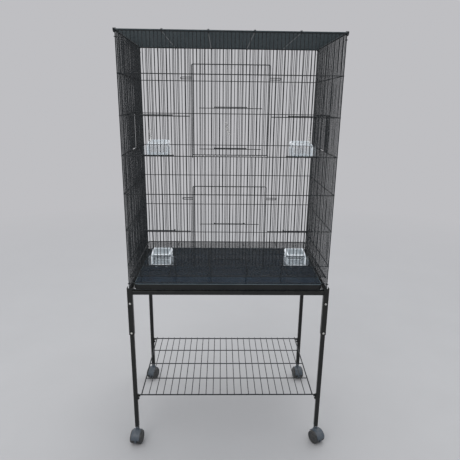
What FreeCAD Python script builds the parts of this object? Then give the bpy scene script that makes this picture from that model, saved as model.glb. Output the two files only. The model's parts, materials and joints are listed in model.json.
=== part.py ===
import FreeCAD, Part
import math
import os

# Flight cage for small birds on a rolling stand: five wire panels on a base frame, two drop-down
# front doors with a small lift-up door in each, four feeder doors with cups behind them, a lift-up
# door in each side, a slide-out floor grate and tray, and a square-tube stand with a shelf and
# four swivel casters.
#
# Millimetres. +Z is up, +X to the right and +Y to the back as someone in front of the cage sees
# it. The origin is on the floor, under the middle of the cage.

V = FreeCAD.Vector
UP = V(0, 0, 1)
RIGHT = V(1, 0, 0)
BACKWARD = V(0, 1, 0)

# --- Cage -----------------------------------------------------------------------------------
CAGE_WIDTH = 762.0
CAGE_DEPTH = 457.0
CAGE_HEIGHT = 914.0
WIRE_PITCH = 12.7  # spacing of the upright wires and of the roof's long wires
MOUTH_HEIGHT = 95.0  # open foot of the front, for the floor grate and the tray
ROWS = 6  # level wires under the front's top one
FINE_WIRE = 2.4
CROSS_WIRE = 3.0
CORNER_WIRE = 4.0
BASE_WIRE = 5.0
BASE_RUNNER_PITCH = 126.0
BRACE_PITCH = 152.4
BRACE_PLACES = (-1.5, -0.5, 0.5, 1.5)  # braces of the roof and the grate, counted from the middle
RUNNER_HEIGHT = 45.0  # centre of the wires that the floor grate slides on, above the cage's foot
CORNER_CLIP_INSET = 20.0
CORNER_CLIP_GAPE = 60.0  # degrees that a corner clip stays open

# --- Clearances between pieces that move or lift out ----------------------------------------
GAP = 0.3
PIN_GAP = 0.05
WEB_GAP = 1.0

# --- Doors ----------------------------------------------------------------------------------
DOOR_COLUMNS = 10  # upright wires left out on each side of the middle for a big door
DOOR_OVERLAP = 4.0  # how far a big door's frame stands beyond the last of them
DOOR_LAP = 31.0  # how far a big door reaches above its opening
DOOR_SILL = 6.0  # bottom bar above the hinge wire
DOOR_ROWS = ((1, 3), (4, 6))  # rows at the top and bottom of each big opening
CURL_TURN = 270.0  # degrees that a big door's frame turns round the hinge wire
EAR_LENGTH = 37.0
EAR_HEIGHT = 6.0
EAR_DROP = 13.0
SMALL_DOOR_SILL = 26.5  # small opening above a big door's hinge wire
SMALL_DOOR_HEIGHT = 137.5
SLIDE_COLUMNS = 4  # wires from the middle of a lift-up door to the wires that guide it
SLIDE_HOOK_REACH = 4.7
SLIDE_LIFT = 3.6
STIFFENER_COLUMNS = 8
STIFFENER_TAIL = 5.0
FEEDER_INSET = 9  # wires from the last one of the front to the middle of a feeder door
FEEDER_ROWS = ((2, 3), (5, 6))
SIDE_DOOR_ROWS = (2, 3)
SPRING_WIRE = 1.6
SPRING_COIL = 10.0
SPRING_PITCH = 8.0
SPRING_TURNS = 4
SPRING_HOOK = 10.0
SPRING_HEIGHT = 46.0  # snap-on foot above the lift-up door's bottom bar
SPRING_GRIP = 105.0  # degrees that the foot reaches round the door's wire, each way
SPRING_LEAN = -0.3  # sideways for each unit upwards, on the small door
SPRING_COLUMN = 2  # the feeder door's wire that holds it, counted from the door's middle

# --- Feeder cups ----------------------------------------------------------------------------
CUP_WIDTH = 76.0
CUP_DEPTH = 56.0
CUP_WALL = 1.8
BOWL_HEIGHT = 30.0
HOOD_HEIGHT = 42.0  # at its front
HOOD_DEPTH = 53.0
HOOD_RISE = 9.0  # from its front to its back
HOOD_CORNER = ((0.0, 7.0), (2.0, 2.0), (9.0, 0.0))  # each corner's points, inwards and downwards
CUP_FLANGE_WIDTH = 94.0
CUP_LUG_COLUMN = 1.5
CUP_LUG_WIDTH = 8.0
CUP_LUG_LIP = 2.0

# --- Tray and floor grate -------------------------------------------------------------------
TRAY_SIDE_GAP = 21.0
TRAY_HEIGHT = 21.0
TRAY_WALL = 2.2
TRAY_SLOPE = 40.0
TRAY_BACK_GAP = 10.0
GRATE_SIDE_GAP = 7.0
GRATE_FRONT_INSET = 9.5
GRATE_BACK_INSET = 11.5
FENCE_POSTS = 6
FENCE_END_INSET = 47.75
FENCE_FOOT = 25.0  # fence's bottom wire above the cage's foot

# --- Stand ----------------------------------------------------------------------------------
SEAT_HEIGHT = 692.0
SLEEVE_SIZE = 20.0
SLEEVE_LENGTH = 186.0
SLEEVE_WALL = 1.5
SIDE_MARGIN = 6.0  # stand's outline beyond the cage's at each side
END_MARGIN = 9.5  # and at the front and back
GUARD_HEIGHT = 12.0
RAIL_SIZE = 16.0
RAIL_WALL = 1.2
LEG_SIZE = 16.0
LEG_WALL = 1.2
LEG_FOOT = 78.0
LEG_OVERLAP = 147.0
BOLT_HEAD = 9.0
BOLT_HEAD_HEIGHT = 3.5
BOLT_SHANK = 6.0
BOLT_DROPS = (52.0, 178.0)  # bolts below the seat
PLUG_FLANGE = 5.0
PLUG_DEPTH = 30.0

# --- Shelf ----------------------------------------------------------------------------------
SHELF_HEIGHT = 223.0
SHELF_SIDE_GAP = 14.5  # between the shelf's mesh and the legs
SHELF_END_INSET = 1.0  # of its front and back edges, inside the legs' middle lines
SHELF_BORDER = 5.0
SHELF_LONG_WIRE = 4.0
SHELF_CROSS_WIRE = 3.2
SHELF_LONG_SPACES = 4
SHELF_CROSS_SPACES = 24
BRACKET_PLATE = 2.0
BRACKET_WIDTH = 14.0
BRACKET_HEIGHT = 26.0
BRACKET_REACH = 9.0

# --- Casters --------------------------------------------------------------------------------
WHEEL_DIAMETER = 54.0
WHEEL_WIDTH = 18.5
WEB_THICKNESS = 8.0
AXLE_DIAMETER = 6.0
TRAIL = 9.0
HOOD_CLEARANCE = 1.5
HOOD_WALL = 2.5
HOOD_SIDE_INSET = 5.5  # of the hood inside the wheels' outer faces
HOOD_BACK_ANGLE = 5.0
HOOD_FRONT_ANGLE = 150.0
BOSS_TOP = 71.0
BOSS_BOTTOM = 40.0
BOSS_DIAMETER = 15.0
STEM_DIAMETER = 10.0
# The way each caster trails at rest, in degrees from straight forwards, turning to the right.
CASTER_TURN = {"front_left": -8.0, "front_right": 30.0, "back_left": -20.0, "back_right": 5.0}

# --- Worked out from the sizes above --------------------------------------------------------
FINE_SIDES = 6  # flats on a fine or bent wire's section
STOUT_SIDES = 8  # flats on a straight stout wire's section
HALF_WIDTH = CAGE_WIDTH / 2
HALF_DEPTH = CAGE_DEPTH / 2
FOOT = SEAT_HEIGHT + BASE_WIRE
TOP = FOOT + CAGE_HEIGHT
ROW_PITCH = (CAGE_HEIGHT - MOUTH_HEIGHT) / ROWS
ROOF_FOOT = TOP - CORNER_WIRE
CROSS_LAYER = -CROSS_WIRE / 2
FINE_LAYER = -CROSS_WIRE - FINE_WIRE / 2
CORNER_LAYER = -CROSS_WIRE - CORNER_WIRE / 2
PANEL_BACK = -CROSS_WIRE - FINE_WIRE
DOOR_LAYER = GAP + CROSS_WIRE / 2
DOOR_HALF = DOOR_COLUMNS * WIRE_PITCH + DOOR_OVERLAP
LEG_X = HALF_WIDTH + SIDE_MARGIN - SLEEVE_SIZE / 2
LEG_Y = HALF_DEPTH + END_MARGIN - SLEEVE_SIZE / 2
LEG_TOP = SEAT_HEIGHT - SLEEVE_LENGTH + LEG_OVERLAP
SHELF_EDGE_X = LEG_X - LEG_SIZE / 2 - SHELF_SIDE_GAP
SHELF_EDGE_Y = LEG_Y - SHELF_END_INSET
CORNERS = {
    "front_left": (-1, -1),
    "front_right": (1, -1),
    "back_left": (-1, 1),
    "back_right": (1, 1),
}


def row_height(row):
    """Height of a level wire, counted in rows down from the roof."""
    return TOP - row * ROW_PITCH


def column(number):
    """Distance of an upright wire from the middle of its panel."""
    return number * WIRE_PITCH


# --- Shapes ---------------------------------------------------------------------------------
def mitred_sections(points, diameter, sides, facing):
    """A wire's flat-sided section at each of its points, mitred there, with one flat to `facing`."""
    steps = [end.sub(start).normalize() for start, end in zip(points, points[1:])]
    across = facing.sub(steps[0] * facing.dot(steps[0])).normalize()
    beside = steps[0].cross(across)
    corner = diameter / 2 / math.cos(math.pi / sides)
    turns = [(count + 0.5) * 2 * math.pi / sides for count in range(sides)]
    ring = [points[0] + across * (corner * math.cos(t)) + beside * (corner * math.sin(t)) for t in turns]
    rings = [ring]
    for place, step, following in zip(points[1:], steps, steps[1:] + steps[-1:]):
        mitre = (step + following).normalize()
        slant = step.dot(mitre)
        ring = [spot + step * (place.sub(spot).dot(mitre) / slant) for spot in ring]
        rings.append(ring)
    return rings


def solid_between(rings):
    """The solid through the sections."""
    faces = [Part.Face(Part.makePolygon(end + end[:1])) for end in (rings[0], rings[-1])]
    sides = len(rings[0])
    for near, far in zip(rings, rings[1:]):
        for this in range(sides):
            following = (this + 1) % sides
            corners = [near[this], near[following], far[following], far[this], near[this]]
            faces.append(Part.Face(Part.makePolygon(corners)))
    solid = Part.Solid(Part.Shell(faces))
    if solid.Volume < 0:
        solid.reverse()
    return solid


def bent_rod(points, diameter, sides, facing):
    """A wire bent through the points, as one solid."""
    return solid_between(mitred_sections(points, diameter, sides, facing))


def bent_runs(points, diameter, sides, facing):
    """A wire bent through the points, as straight solids that meet at its mitres."""
    rings = mitred_sections(points, diameter, sides, facing)
    return [solid_between(ends) for ends in zip(rings, rings[1:])]


def rod(start, end, diameter, sides=FINE_SIDES, facing=UP):
    """A straight wire."""
    return bent_rod([start, end], diameter, sides, facing)


def box(low, high):
    """A block between two corners."""
    size = high.sub(low)
    return Part.makeBox(size.x, size.y, size.z, low)


def square_tube(start, along, length, size, wall):
    """A square tube, open at both ends, whose middle line starts at `start`."""
    beside = V(1, 1, 1) - V(abs(along.x), abs(along.y), abs(along.z))
    outer = box(start - beside * (size / 2), start + along * length + beside * (size / 2))
    hollow = size / 2 - wall
    return outer.cut(box(start - beside * hollow, start + along * length + beside * hollow))


def arc_points(centre, first, second, radius, start_angle, end_angle, count):
    """Points on an arc that turns from the direction `first` towards `second`."""
    points = []
    for number in range(count + 1):
        angle = math.radians(start_angle + (end_angle - start_angle) * number / count)
        points.append(centre + first * (radius * math.cos(angle)) + second * (radius * math.sin(angle)))
    return points


def save(name, solids):
    """Write one sub-part, of one or more solids."""
    shape = solids[0] if len(solids) == 1 else Part.makeCompound(solids)
    shape.exportStep(f"parts/{name}.step")


# --- Cage faces -----------------------------------------------------------------------------
class Side:
    """An upright face of the cage, which places points by their distance across, out and up."""

    def __init__(self, outward, across, reach, half_span):
        self.outward = outward
        self.across = across
        self.reach = reach
        self.half_span = half_span

    def at(self, across, out, height):
        """A point: `out` is counted outwards from the cage's outline."""
        return self.across * across + self.outward * (self.reach + out) + UP * height

    def upright(self, across, out, low, high, diameter=FINE_WIRE, sides=FINE_SIDES):
        """An upright wire."""
        return rod(self.at(across, out, low), self.at(across, out, high), diameter, sides, self.outward)

    def level(self, left, right, out, height, diameter=CROSS_WIRE):
        """A level wire."""
        return rod(self.at(left, out, height), self.at(right, out, height), diameter, STOUT_SIDES, UP)


FRONT = Side(V(0, -1, 0), V(1, 0, 0), HALF_DEPTH, HALF_WIDTH)
BACK = Side(V(0, 1, 0), V(-1, 0, 0), HALF_DEPTH, HALF_WIDTH)
LEFT = Side(V(-1, 0, 0), V(0, -1, 0), HALF_WIDTH, HALF_DEPTH)
RIGHT_SIDE = Side(V(1, 0, 0), V(0, 1, 0), HALF_WIDTH, HALF_DEPTH)

# A panel's ends: the front and back run past the corner wires, and the sides stop at them.
CORNER_PLACE = HALF_WIDTH - CORNER_WIRE / 2
SIDE_SPAN = HALF_DEPTH - CROSS_WIRE - CORNER_WIRE
TOP_ROW = ROOF_FOOT - CROSS_WIRE / 2
BOTTOM_ROW = FOOT + CROSS_WIRE / 2


def outer_column(side_span):
    """The last upright wire that fits inside a panel's half span."""
    return int((side_span - CORNER_WIRE) / WIRE_PITCH)


FEEDER_COLUMN = outer_column(HALF_WIDTH) - FEEDER_INSET


def corner_wires(side):
    """The two stout corner wires of the front or back panel."""
    return [
        side.upright(end * CORNER_PLACE, CORNER_LAYER, FOOT, ROOF_FOOT, CORNER_WIRE, STOUT_SIDES)
        for end in (-1, 1)
    ]


def front_spans(number):
    """The stretches of the front panel's upright wire in this column, clear of the doors."""
    from_middle = abs(number)
    from_feeder = abs(from_middle - FEEDER_COLUMN)
    if from_middle <= DOOR_COLUMNS:
        openings = DOOR_ROWS
    elif from_feeder < SLIDE_COLUMNS:
        openings = FEEDER_ROWS
    else:
        return [(row_height(DOOR_ROWS[-1][1]), TOP_ROW)]
    spans = []
    high = TOP_ROW
    for top, bottom in openings:
        spans.append((row_height(top), high))
        high = row_height(bottom)
    return spans


def front_panel():
    """The front: its upright wires stop at the lowest row, over the mouth for grate and tray."""
    wires = corner_wires(FRONT)
    last = outer_column(HALF_WIDTH)
    for number in range(-last, last + 1):
        for low, high in front_spans(number):
            wires.append(FRONT.upright(column(number), FINE_LAYER, low, high))
    wires.append(FRONT.level(-HALF_WIDTH, HALF_WIDTH, CROSS_LAYER, TOP_ROW))
    opening = column(DOOR_COLUMNS + 1) + FINE_WIRE / 2
    for top, bottom in DOOR_ROWS:
        for row in range(top, bottom + 1):
            if row in (top, bottom):
                wires.append(FRONT.level(-HALF_WIDTH, HALF_WIDTH, CROSS_LAYER, row_height(row)))
                continue
            for start, end in ((-HALF_WIDTH, -opening), (opening, HALF_WIDTH)):
                wires.append(FRONT.level(start, end, CROSS_LAYER, row_height(row)))
    return wires


def level_rows():
    """The rows of the panels that reach the cage's foot."""
    return [row_height(row) for row in range(1, DOOR_ROWS[-1][1] + 1)]


def back_panel():
    """The back: a plain grid down to the foot."""
    wires = corner_wires(BACK)
    last = outer_column(HALF_WIDTH)
    for number in range(-last, last + 1):
        wires.append(BACK.upright(column(number), FINE_LAYER, FOOT, TOP_ROW))
    for height in [TOP_ROW, BOTTOM_ROW] + level_rows():
        wires.append(BACK.level(-HALF_WIDTH, HALF_WIDTH, CROSS_LAYER, height))
    return wires


def side_panel(side):
    """A side: a grid with one lift-up door opening, and the runner of the floor grate inside it."""
    wires = []
    last = outer_column(SIDE_SPAN)
    door_top, door_foot = (row_height(row) for row in SIDE_DOOR_ROWS)
    for number in range(-last, last + 1):
        spans = [(FOOT, TOP_ROW)]
        if abs(number) < SLIDE_COLUMNS:
            spans = [(FOOT, door_foot), (door_top, TOP_ROW)]
        for low, high in spans:
            wires.append(side.upright(column(number), FINE_LAYER, low, high))
    for height in [TOP_ROW, BOTTOM_ROW] + level_rows():
        wires.append(side.level(-SIDE_SPAN, SIDE_SPAN, CROSS_LAYER, height))
    runner_layer = PANEL_BACK - CORNER_WIRE / 2
    wires.append(side.level(-SIDE_SPAN, SIDE_SPAN, runner_layer, FOOT + RUNNER_HEIGHT, CORNER_WIRE))
    return wires


def top_panel():
    """The roof: fine wires from side to side on four braces, in a stout border."""
    middle = TOP - CORNER_WIRE / 2
    inner_x = HALF_WIDTH - CORNER_WIRE
    inner_y = HALF_DEPTH - CORNER_WIRE
    wires = []
    for end in (-1, 1):
        y = end * (HALF_DEPTH - CORNER_WIRE / 2)
        wires.append(rod(V(-HALF_WIDTH, y, middle), V(HALF_WIDTH, y, middle), CORNER_WIRE, STOUT_SIDES))
        x = end * CORNER_PLACE
        wires.append(rod(V(x, -inner_y, middle), V(x, inner_y, middle), CORNER_WIRE, STOUT_SIDES))
    fine = TOP - FINE_WIRE / 2
    last = outer_column(HALF_DEPTH)
    for number in range(-last, last + 1):
        y = column(number)
        wires.append(rod(V(-inner_x, y, fine), V(inner_x, y, fine), FINE_WIRE))
    brace = TOP - FINE_WIRE - CROSS_WIRE / 2
    for number in BRACE_PLACES:
        x = number * BRACE_PITCH
        wires.append(rod(V(x, -inner_y, brace), V(x, inner_y, brace), CROSS_WIRE, STOUT_SIDES))
    return wires


def base_frame():
    """The frame under the panels, on which the tray slides."""
    middle = SEAT_HEIGHT + BASE_WIRE / 2
    inner_y = HALF_DEPTH - BASE_WIRE
    edge_x = HALF_WIDTH - BASE_WIRE / 2
    edge_y = HALF_DEPTH - BASE_WIRE / 2
    wires = []
    for end in (-1, 1):
        y = end * edge_y
        wires.append(rod(V(-HALF_WIDTH, y, middle), V(HALF_WIDTH, y, middle), BASE_WIRE, STOUT_SIDES))
    runners = int((edge_x - BASE_WIRE) / BASE_RUNNER_PITCH)
    places = [number * BASE_RUNNER_PITCH for number in range(-runners, runners + 1)]
    for x in [-edge_x] + places + [edge_x]:
        wires.append(rod(V(x, -inner_y, middle), V(x, inner_y, middle), BASE_WIRE, STOUT_SIDES))
    return wires


def panel_clips():
    """Open wire rings that close round the corner wires near the roof and near the foot."""
    clips = []
    clear = CORNER_WIRE / 2 / math.cos(math.pi / STOUT_SIDES) + GAP + FINE_WIRE / 2
    start, end = CORNER_CLIP_GAPE / 2, 360 - CORNER_CLIP_GAPE / 2
    runs = 6
    radius = clear / math.cos(math.radians((end - start) / runs / 2))
    corner_y = HALF_DEPTH + CORNER_LAYER
    for side_x, side_y in CORNERS.values():
        for height in (FOOT + CORNER_CLIP_INSET, ROOF_FOOT - CORNER_CLIP_INSET):
            centre = V(side_x * CORNER_PLACE, side_y * corner_y, height)
            ring = arc_points(centre, RIGHT * -side_x, BACKWARD * -side_y, radius, start, end, runs)
            clips.append(bent_rod(ring, FINE_WIRE, FINE_SIDES, centre.sub(ring[0])))
    return clips


# --- Doors ----------------------------------------------------------------------------------
def lift_door(side, across, foot, head, front, guide_back):
    """A lift-up door: wires on two bars, whose hooked ends run on the guide wires.

    `front` is the outermost layer that it passes in front of, and `guide_back` is the inner
    flat of its guide wires.
    """
    fine_layer = front + GAP + FINE_WIRE / 2
    bar_layer = front + GAP + FINE_WIRE + CROSS_WIRE / 2
    hook_layer = guide_back - GAP - CROSS_WIRE / 2
    guide = column(SLIDE_COLUMNS)
    turn = guide + SLIDE_HOOK_REACH
    tip = guide - FINE_WIRE / 2
    wires = []
    for height in (foot + SLIDE_LIFT, head + SLIDE_LIFT):
        half = [(tip, hook_layer), (turn, hook_layer), (turn, bar_layer)]
        path = [side.at(across - reach, out, height) for reach, out in half]
        path += [side.at(across + reach, out, height) for reach, out in reversed(half)]
        wires += bent_runs(path, CROSS_WIRE, FINE_SIDES, side.outward)
    for number in range(1 - SLIDE_COLUMNS, SLIDE_COLUMNS):
        place = across + column(number)
        wires.append(side.upright(place, fine_layer, foot + SLIDE_LIFT, head + SLIDE_LIFT))
    return wires


def big_door_frame(rows):
    """A drop-down door's frame: one wire that curls round the hinge wire at both ends."""
    head = row_height(rows[0]) + DOOR_LAP
    radius = DOOR_LAYER - CROSS_LAYER
    path = []
    for end in (-1, 1):
        centre = FRONT.at(end * DOOR_HALF, CROSS_LAYER, row_height(rows[1]))
        curl = arc_points(centre, FRONT.outward, UP, radius, -CURL_TURN, 0, 9)
        corner = FRONT.at(end * DOOR_HALF, DOOR_LAYER, head)
        path += curl + [corner] if end < 0 else [corner] + curl[::-1]
    return bent_rod(path, CROSS_WIRE, FINE_SIDES, UP)


def big_door(rows):
    """What a drop-down door's frame carries: its grid, the guide bars of the small door, its ears."""
    head = row_height(rows[0]) + DOOR_LAP
    hinge = row_height(rows[1])
    sill = hinge + DOOR_SILL
    edge = CROSS_WIRE / 2 / math.cos(math.pi / FINE_SIDES)
    inner = DOOR_HALF - edge
    wires = [FRONT.level(-inner, inner, DOOR_LAYER, sill)]
    opening_foot = hinge + SMALL_DOOR_SILL
    opening_head = opening_foot + SMALL_DOOR_HEIGHT
    guide_layer = DOOR_LAYER - FINE_WIRE
    reach = column(STIFFENER_COLUMNS) + STIFFENER_TAIL
    for height in (opening_foot, opening_head):
        wires.append(FRONT.level(-reach, reach, guide_layer, height, FINE_WIRE))
    low = sill + CROSS_WIRE / 2
    high = head - edge
    for number in range(1 - DOOR_COLUMNS, DOOR_COLUMNS):
        spans = [(low, high)]
        if abs(number) < SLIDE_COLUMNS:
            spans = [(low, opening_foot), (opening_head, high)]
        for start, end in spans:
            wires.append(FRONT.upright(column(number), DOOR_LAYER, start, end))
    ear = row_height(rows[0]) - EAR_DROP
    root = DOOR_HALF + edge
    tip = DOOR_HALF + EAR_LENGTH
    for end in (-1, 1):
        corners = ((root, 1), (tip, 1), (tip, -1), (root, -1))
        loop = [FRONT.at(end * across, DOOR_LAYER, ear + up * EAR_HEIGHT / 2) for across, up in corners]
        wires += bent_runs(loop, FINE_WIRE, FINE_SIDES, UP)
    return wires


def spring_hook(side, across, foot, front, hand=1, lean=0.0):
    """A coil spring that snaps on a wire of a lift-up door, with an open hook at its top.

    `hand` is the way across from the wire to the coil, turned round, and `lean` tips the coil.
    """
    height = foot + SLIDE_LIFT + SPRING_HEIGHT
    centre = side.at(across, front + GAP + FINE_WIRE / 2, height)
    beside = side.across * hand
    runs = 5
    clear = FINE_WIRE / 2 / math.cos(math.pi / FINE_SIDES) + PIN_GAP + SPRING_WIRE / 2
    grip = clear / math.cos(math.radians(SPRING_GRIP / runs))
    clip = arc_points(centre, side.outward, beside, grip, -SPRING_GRIP, SPRING_GRIP, runs)
    radius = (SPRING_COIL - SPRING_WIRE) / 2
    middle = centre + side.outward * (FINE_WIRE / 2 + GAP + SPRING_COIL / 2) - beside * radius
    rise = UP * SPRING_PITCH + side.across * (SPRING_PITCH * lean)
    path = [centre + side.outward * grip]
    for number in range(SPRING_TURNS * FINE_SIDES + 1):
        turn = number / FINE_SIDES
        angle = 2 * math.pi * turn
        swing = beside * (radius * math.cos(angle)) + side.outward * (radius * math.sin(angle))
        path.append(middle + swing + rise * turn)
    hook = path[-1] - beside * radius + rise * (SPRING_HOOK / 2 / SPRING_PITCH)
    path += arc_points(hook, beside, UP, radius, 0, 180, 4)
    return bent_rod(clip, SPRING_WIRE, 4, UP).fuse(bent_rod(path, SPRING_WIRE, 4, UP))


# --- Cups, tray and grate -------------------------------------------------------------------
def cup(across, row):
    """A clear cup, clipped round a level wire by two lugs, with a hood open to the birds."""
    wire = row_height(row)
    front = -HALF_DEPTH - PANEL_BACK + GAP
    foot = wire + CROSS_WIRE / 2 + GAP

    def block(half, near, far, low, high):
        return box(V(across - half, front + near, foot + low), V(across + half, front + far, foot + high))

    def hood(half, near, far, low, high):
        """A block under the hood's slanting roof: its upright front outline run to the back."""
        right = [V(across + half - inwards, 0, high - downwards) for inwards, downwards in HOOD_CORNER]
        right.insert(0, V(across + half, 0, low))
        left = [V(2 * across - spot.x, 0, spot.z) for spot in reversed(right)]
        outline = Part.makePolygon(right + left + right[:1])
        slant = V(0, 1, HOOD_RISE / HOOD_DEPTH)
        return Part.Face(outline).translated(V(0, front, foot) + slant * near).extrude(slant * (far - near))

    half = CUP_WIDTH / 2
    inner = half - CUP_WALL
    body = block(half, 0, CUP_DEPTH, 0, BOWL_HEIGHT)
    body = body.fuse(hood(half, 0, HOOD_DEPTH, BOWL_HEIGHT / 2, HOOD_HEIGHT))
    body = body.cut(block(inner, CUP_WALL, CUP_DEPTH - CUP_WALL, CUP_WALL, BOWL_HEIGHT))
    body = body.cut(hood(inner, CUP_WALL, HOOD_DEPTH, BOWL_HEIGHT / 2, HOOD_HEIGHT - CUP_WALL))
    body = body.fuse(block(CUP_FLANGE_WIDTH / 2, 0, CUP_WALL, 0, HOOD_HEIGHT - HOOD_CORNER[0][1]))
    lip_front = CROSS_WIRE + FINE_WIRE + GAP - 2 * PIN_GAP
    web_front = FINE_WIRE
    drop = CROSS_WIRE + 2 * GAP
    for end in (-1, 1):
        middle = across + end * column(CUP_LUG_COLUMN)
        low_x, high_x = middle - CUP_LUG_WIDTH / 2, middle + CUP_LUG_WIDTH / 2
        lip = box(V(low_x, front - lip_front, foot), V(high_x, front, foot + CUP_LUG_LIP))
        keeper = lip.translated(V(0, 0, -drop - CUP_LUG_LIP))
        web = box(
            V(low_x, front - web_front, foot - drop - CUP_LUG_LIP),
            V(high_x, front + CUP_WALL, foot + CUP_LUG_LIP),
        )
        body = body.fuse(lip).fuse(keeper).fuse(web)
    return body.removeSplitter()


def tray():
    """A shallow moulded tray: an upright skirt, a wide sloping margin and a flat floor."""
    foot = FOOT + GAP
    rim = foot + TRAY_HEIGHT
    front = -HALF_DEPTH
    back = HALF_DEPTH - CROSS_WIRE - FINE_WIRE - TRAY_BACK_GAP
    half = HALF_WIDTH - TRAY_SIDE_GAP

    def outline(inset, height):
        low_x, low_y, high_x, high_y = -half + inset, front + inset, half - inset, back - inset
        corners = [V(low_x, low_y, height), V(high_x, low_y, height)]
        corners += [V(high_x, high_y, height), V(low_x, high_y, height)]
        return Part.makePolygon(corners + corners[:1])

    skirt = Part.makeLoft([outline(0, foot), outline(0, rim)], True, True)
    skirt = skirt.cut(Part.makeLoft([outline(TRAY_WALL, foot), outline(TRAY_WALL, rim)], True, True))
    floor_inset = TRAY_WALL + TRAY_SLOPE
    basin = Part.makeLoft([outline(floor_inset, foot), outline(0, rim)], True, True)
    hollow = [outline(floor_inset + TRAY_WALL / 2, foot + TRAY_WALL), outline(TRAY_WALL, rim)]
    basin = basin.cut(Part.makeLoft(hollow, True, True))
    return skirt.fuse(basin).removeSplitter()


def floor_grate():
    """A wire floor in a stout border, with the fence that closes the mouth in front of it."""
    foot = FOOT + RUNNER_HEIGHT + CORNER_WIRE / 2 + GAP
    middle = foot + CORNER_WIRE / 2
    half_x = HALF_WIDTH - GRATE_SIDE_GAP - CORNER_WIRE / 2
    front = -HALF_DEPTH + GRATE_FRONT_INSET
    back = HALF_DEPTH - GRATE_BACK_INSET
    inner = half_x - CORNER_WIRE / 2
    wires = []
    for y in (front, back):
        end = half_x + CORNER_WIRE / 2
        wires.append(rod(V(-end, y, middle), V(end, y, middle), CORNER_WIRE, STOUT_SIDES))
    near, far = front + CORNER_WIRE / 2, back - CORNER_WIRE / 2
    for x in (-half_x, half_x):
        wires.append(rod(V(x, near, middle), V(x, far, middle), CORNER_WIRE, STOUT_SIDES))
    fine = foot + CORNER_WIRE - FINE_WIRE / 2
    count = int((far - near - FINE_WIRE) / WIRE_PITCH)
    first = (near + far - count * WIRE_PITCH) / 2
    for number in range(count + 1):
        y = first + number * WIRE_PITCH
        wires.append(rod(V(-inner, y, fine), V(inner, y, fine), FINE_WIRE))
    brace = fine - FINE_WIRE / 2 - CROSS_WIRE / 2
    for number in BRACE_PLACES:
        x = number * BRACE_PITCH
        wires.append(rod(V(x, near, brace), V(x, far, brace), CROSS_WIRE, STOUT_SIDES))
    post_y = front - CORNER_WIRE / 2 - FINE_WIRE / 2
    low = FOOT + FENCE_FOOT
    head = row_height(DOOR_ROWS[-1][1]) - CROSS_WIRE
    end_post = HALF_WIDTH - FENCE_END_INSET
    for number in range(FENCE_POSTS):
        x = end_post * (2 * number / (FENCE_POSTS - 1) - 1)
        wires.append(rod(V(x, post_y, low), V(x, post_y, head), FINE_WIRE, FINE_SIDES, BACKWARD))
    wire_y = post_y - FINE_WIRE / 2 - CROSS_WIRE / 2
    wires.append(rod(V(-inner, wire_y, low), V(inner, wire_y, low), CROSS_WIRE, STOUT_SIDES))
    return wires


# --- Stand ----------------------------------------------------------------------------------
def sleeve(side_x, side_y):
    """A corner sleeve: square tube with a closed top and two upstands that keep the cage in place."""
    half = SLEEVE_SIZE / 2
    x, y = side_x * LEG_X, side_y * LEG_Y
    foot = SEAT_HEIGHT - SLEEVE_LENGTH
    body = square_tube(V(x, y, foot), UP, SLEEVE_LENGTH, SLEEVE_SIZE, SLEEVE_WALL)
    cap = box(V(x - half, y - half, SEAT_HEIGHT - SLEEVE_WALL), V(x + half, y + half, SEAT_HEIGHT))
    upstands = box(V(x - half, y - half, SEAT_HEIGHT), V(x + half, y + half, SEAT_HEIGHT + GUARD_HEIGHT))
    inward = V(-side_x * SLEEVE_WALL, -side_y * SLEEVE_WALL, 0)
    body = body.fuse(cap).fuse(upstands.cut(upstands.translated(inward)))
    return body.cut(bolt_shanks(x, y, GAP / 2)).removeSplitter()


def bolt_shanks(x, y, clearance):
    """The shanks of the two bolts at one corner, from the sleeve's front face into the leg."""
    front = y - SLEEVE_SIZE / 2
    depth = SLEEVE_WALL + (SLEEVE_SIZE - LEG_SIZE) / 2 + LEG_WALL + 2 * clearance
    shanks = []
    for drop in BOLT_DROPS:
        start = V(x, front, SEAT_HEIGHT - drop)
        end = start + BACKWARD * depth
        shanks.append(rod(start, end, BOLT_SHANK + 2 * clearance, FINE_SIDES, UP))
    return shanks[0].fuse(shanks[1])


def leg_bolts():
    """Pan-head bolts that hold the telescoped legs in the sleeves, two at each corner."""
    bolts = []
    for side_x, side_y in CORNERS.values():
        x, y = side_x * LEG_X, side_y * LEG_Y
        front = y - SLEEVE_SIZE / 2
        bolts += bolt_shanks(x, y, 0).Solids
        for drop in BOLT_DROPS:
            seat = V(x, front, SEAT_HEIGHT - drop)
            bolts.append(rod(seat, seat - BACKWARD * BOLT_HEAD_HEIGHT, BOLT_HEAD, STOUT_SIDES, UP))
    return bolts


def leg(side_x, side_y):
    """A lower leg: square tube that telescopes in its sleeve."""
    x, y = side_x * LEG_X, side_y * LEG_Y
    body = square_tube(V(x, y, LEG_FOOT), UP, LEG_TOP - LEG_FOOT, LEG_SIZE, LEG_WALL)
    return body.cut(bolt_shanks(x, y, GAP / 2))


def stand_rails():
    """The four rails between the sleeves, on which the cage stands."""
    middle = SEAT_HEIGHT - RAIL_SIZE / 2
    span_x = 2 * LEG_X - SLEEVE_SIZE
    span_y = 2 * LEG_Y - SLEEVE_SIZE
    rails = []
    for end in (-1, 1):
        start = V(-span_x / 2, end * LEG_Y, middle)
        rails.append(square_tube(start, RIGHT, span_x, RAIL_SIZE, RAIL_WALL))
        start = V(end * LEG_X, -span_y / 2, middle)
        rails.append(square_tube(start, BACKWARD, span_y, RAIL_SIZE, RAIL_WALL))
    return rails


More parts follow.
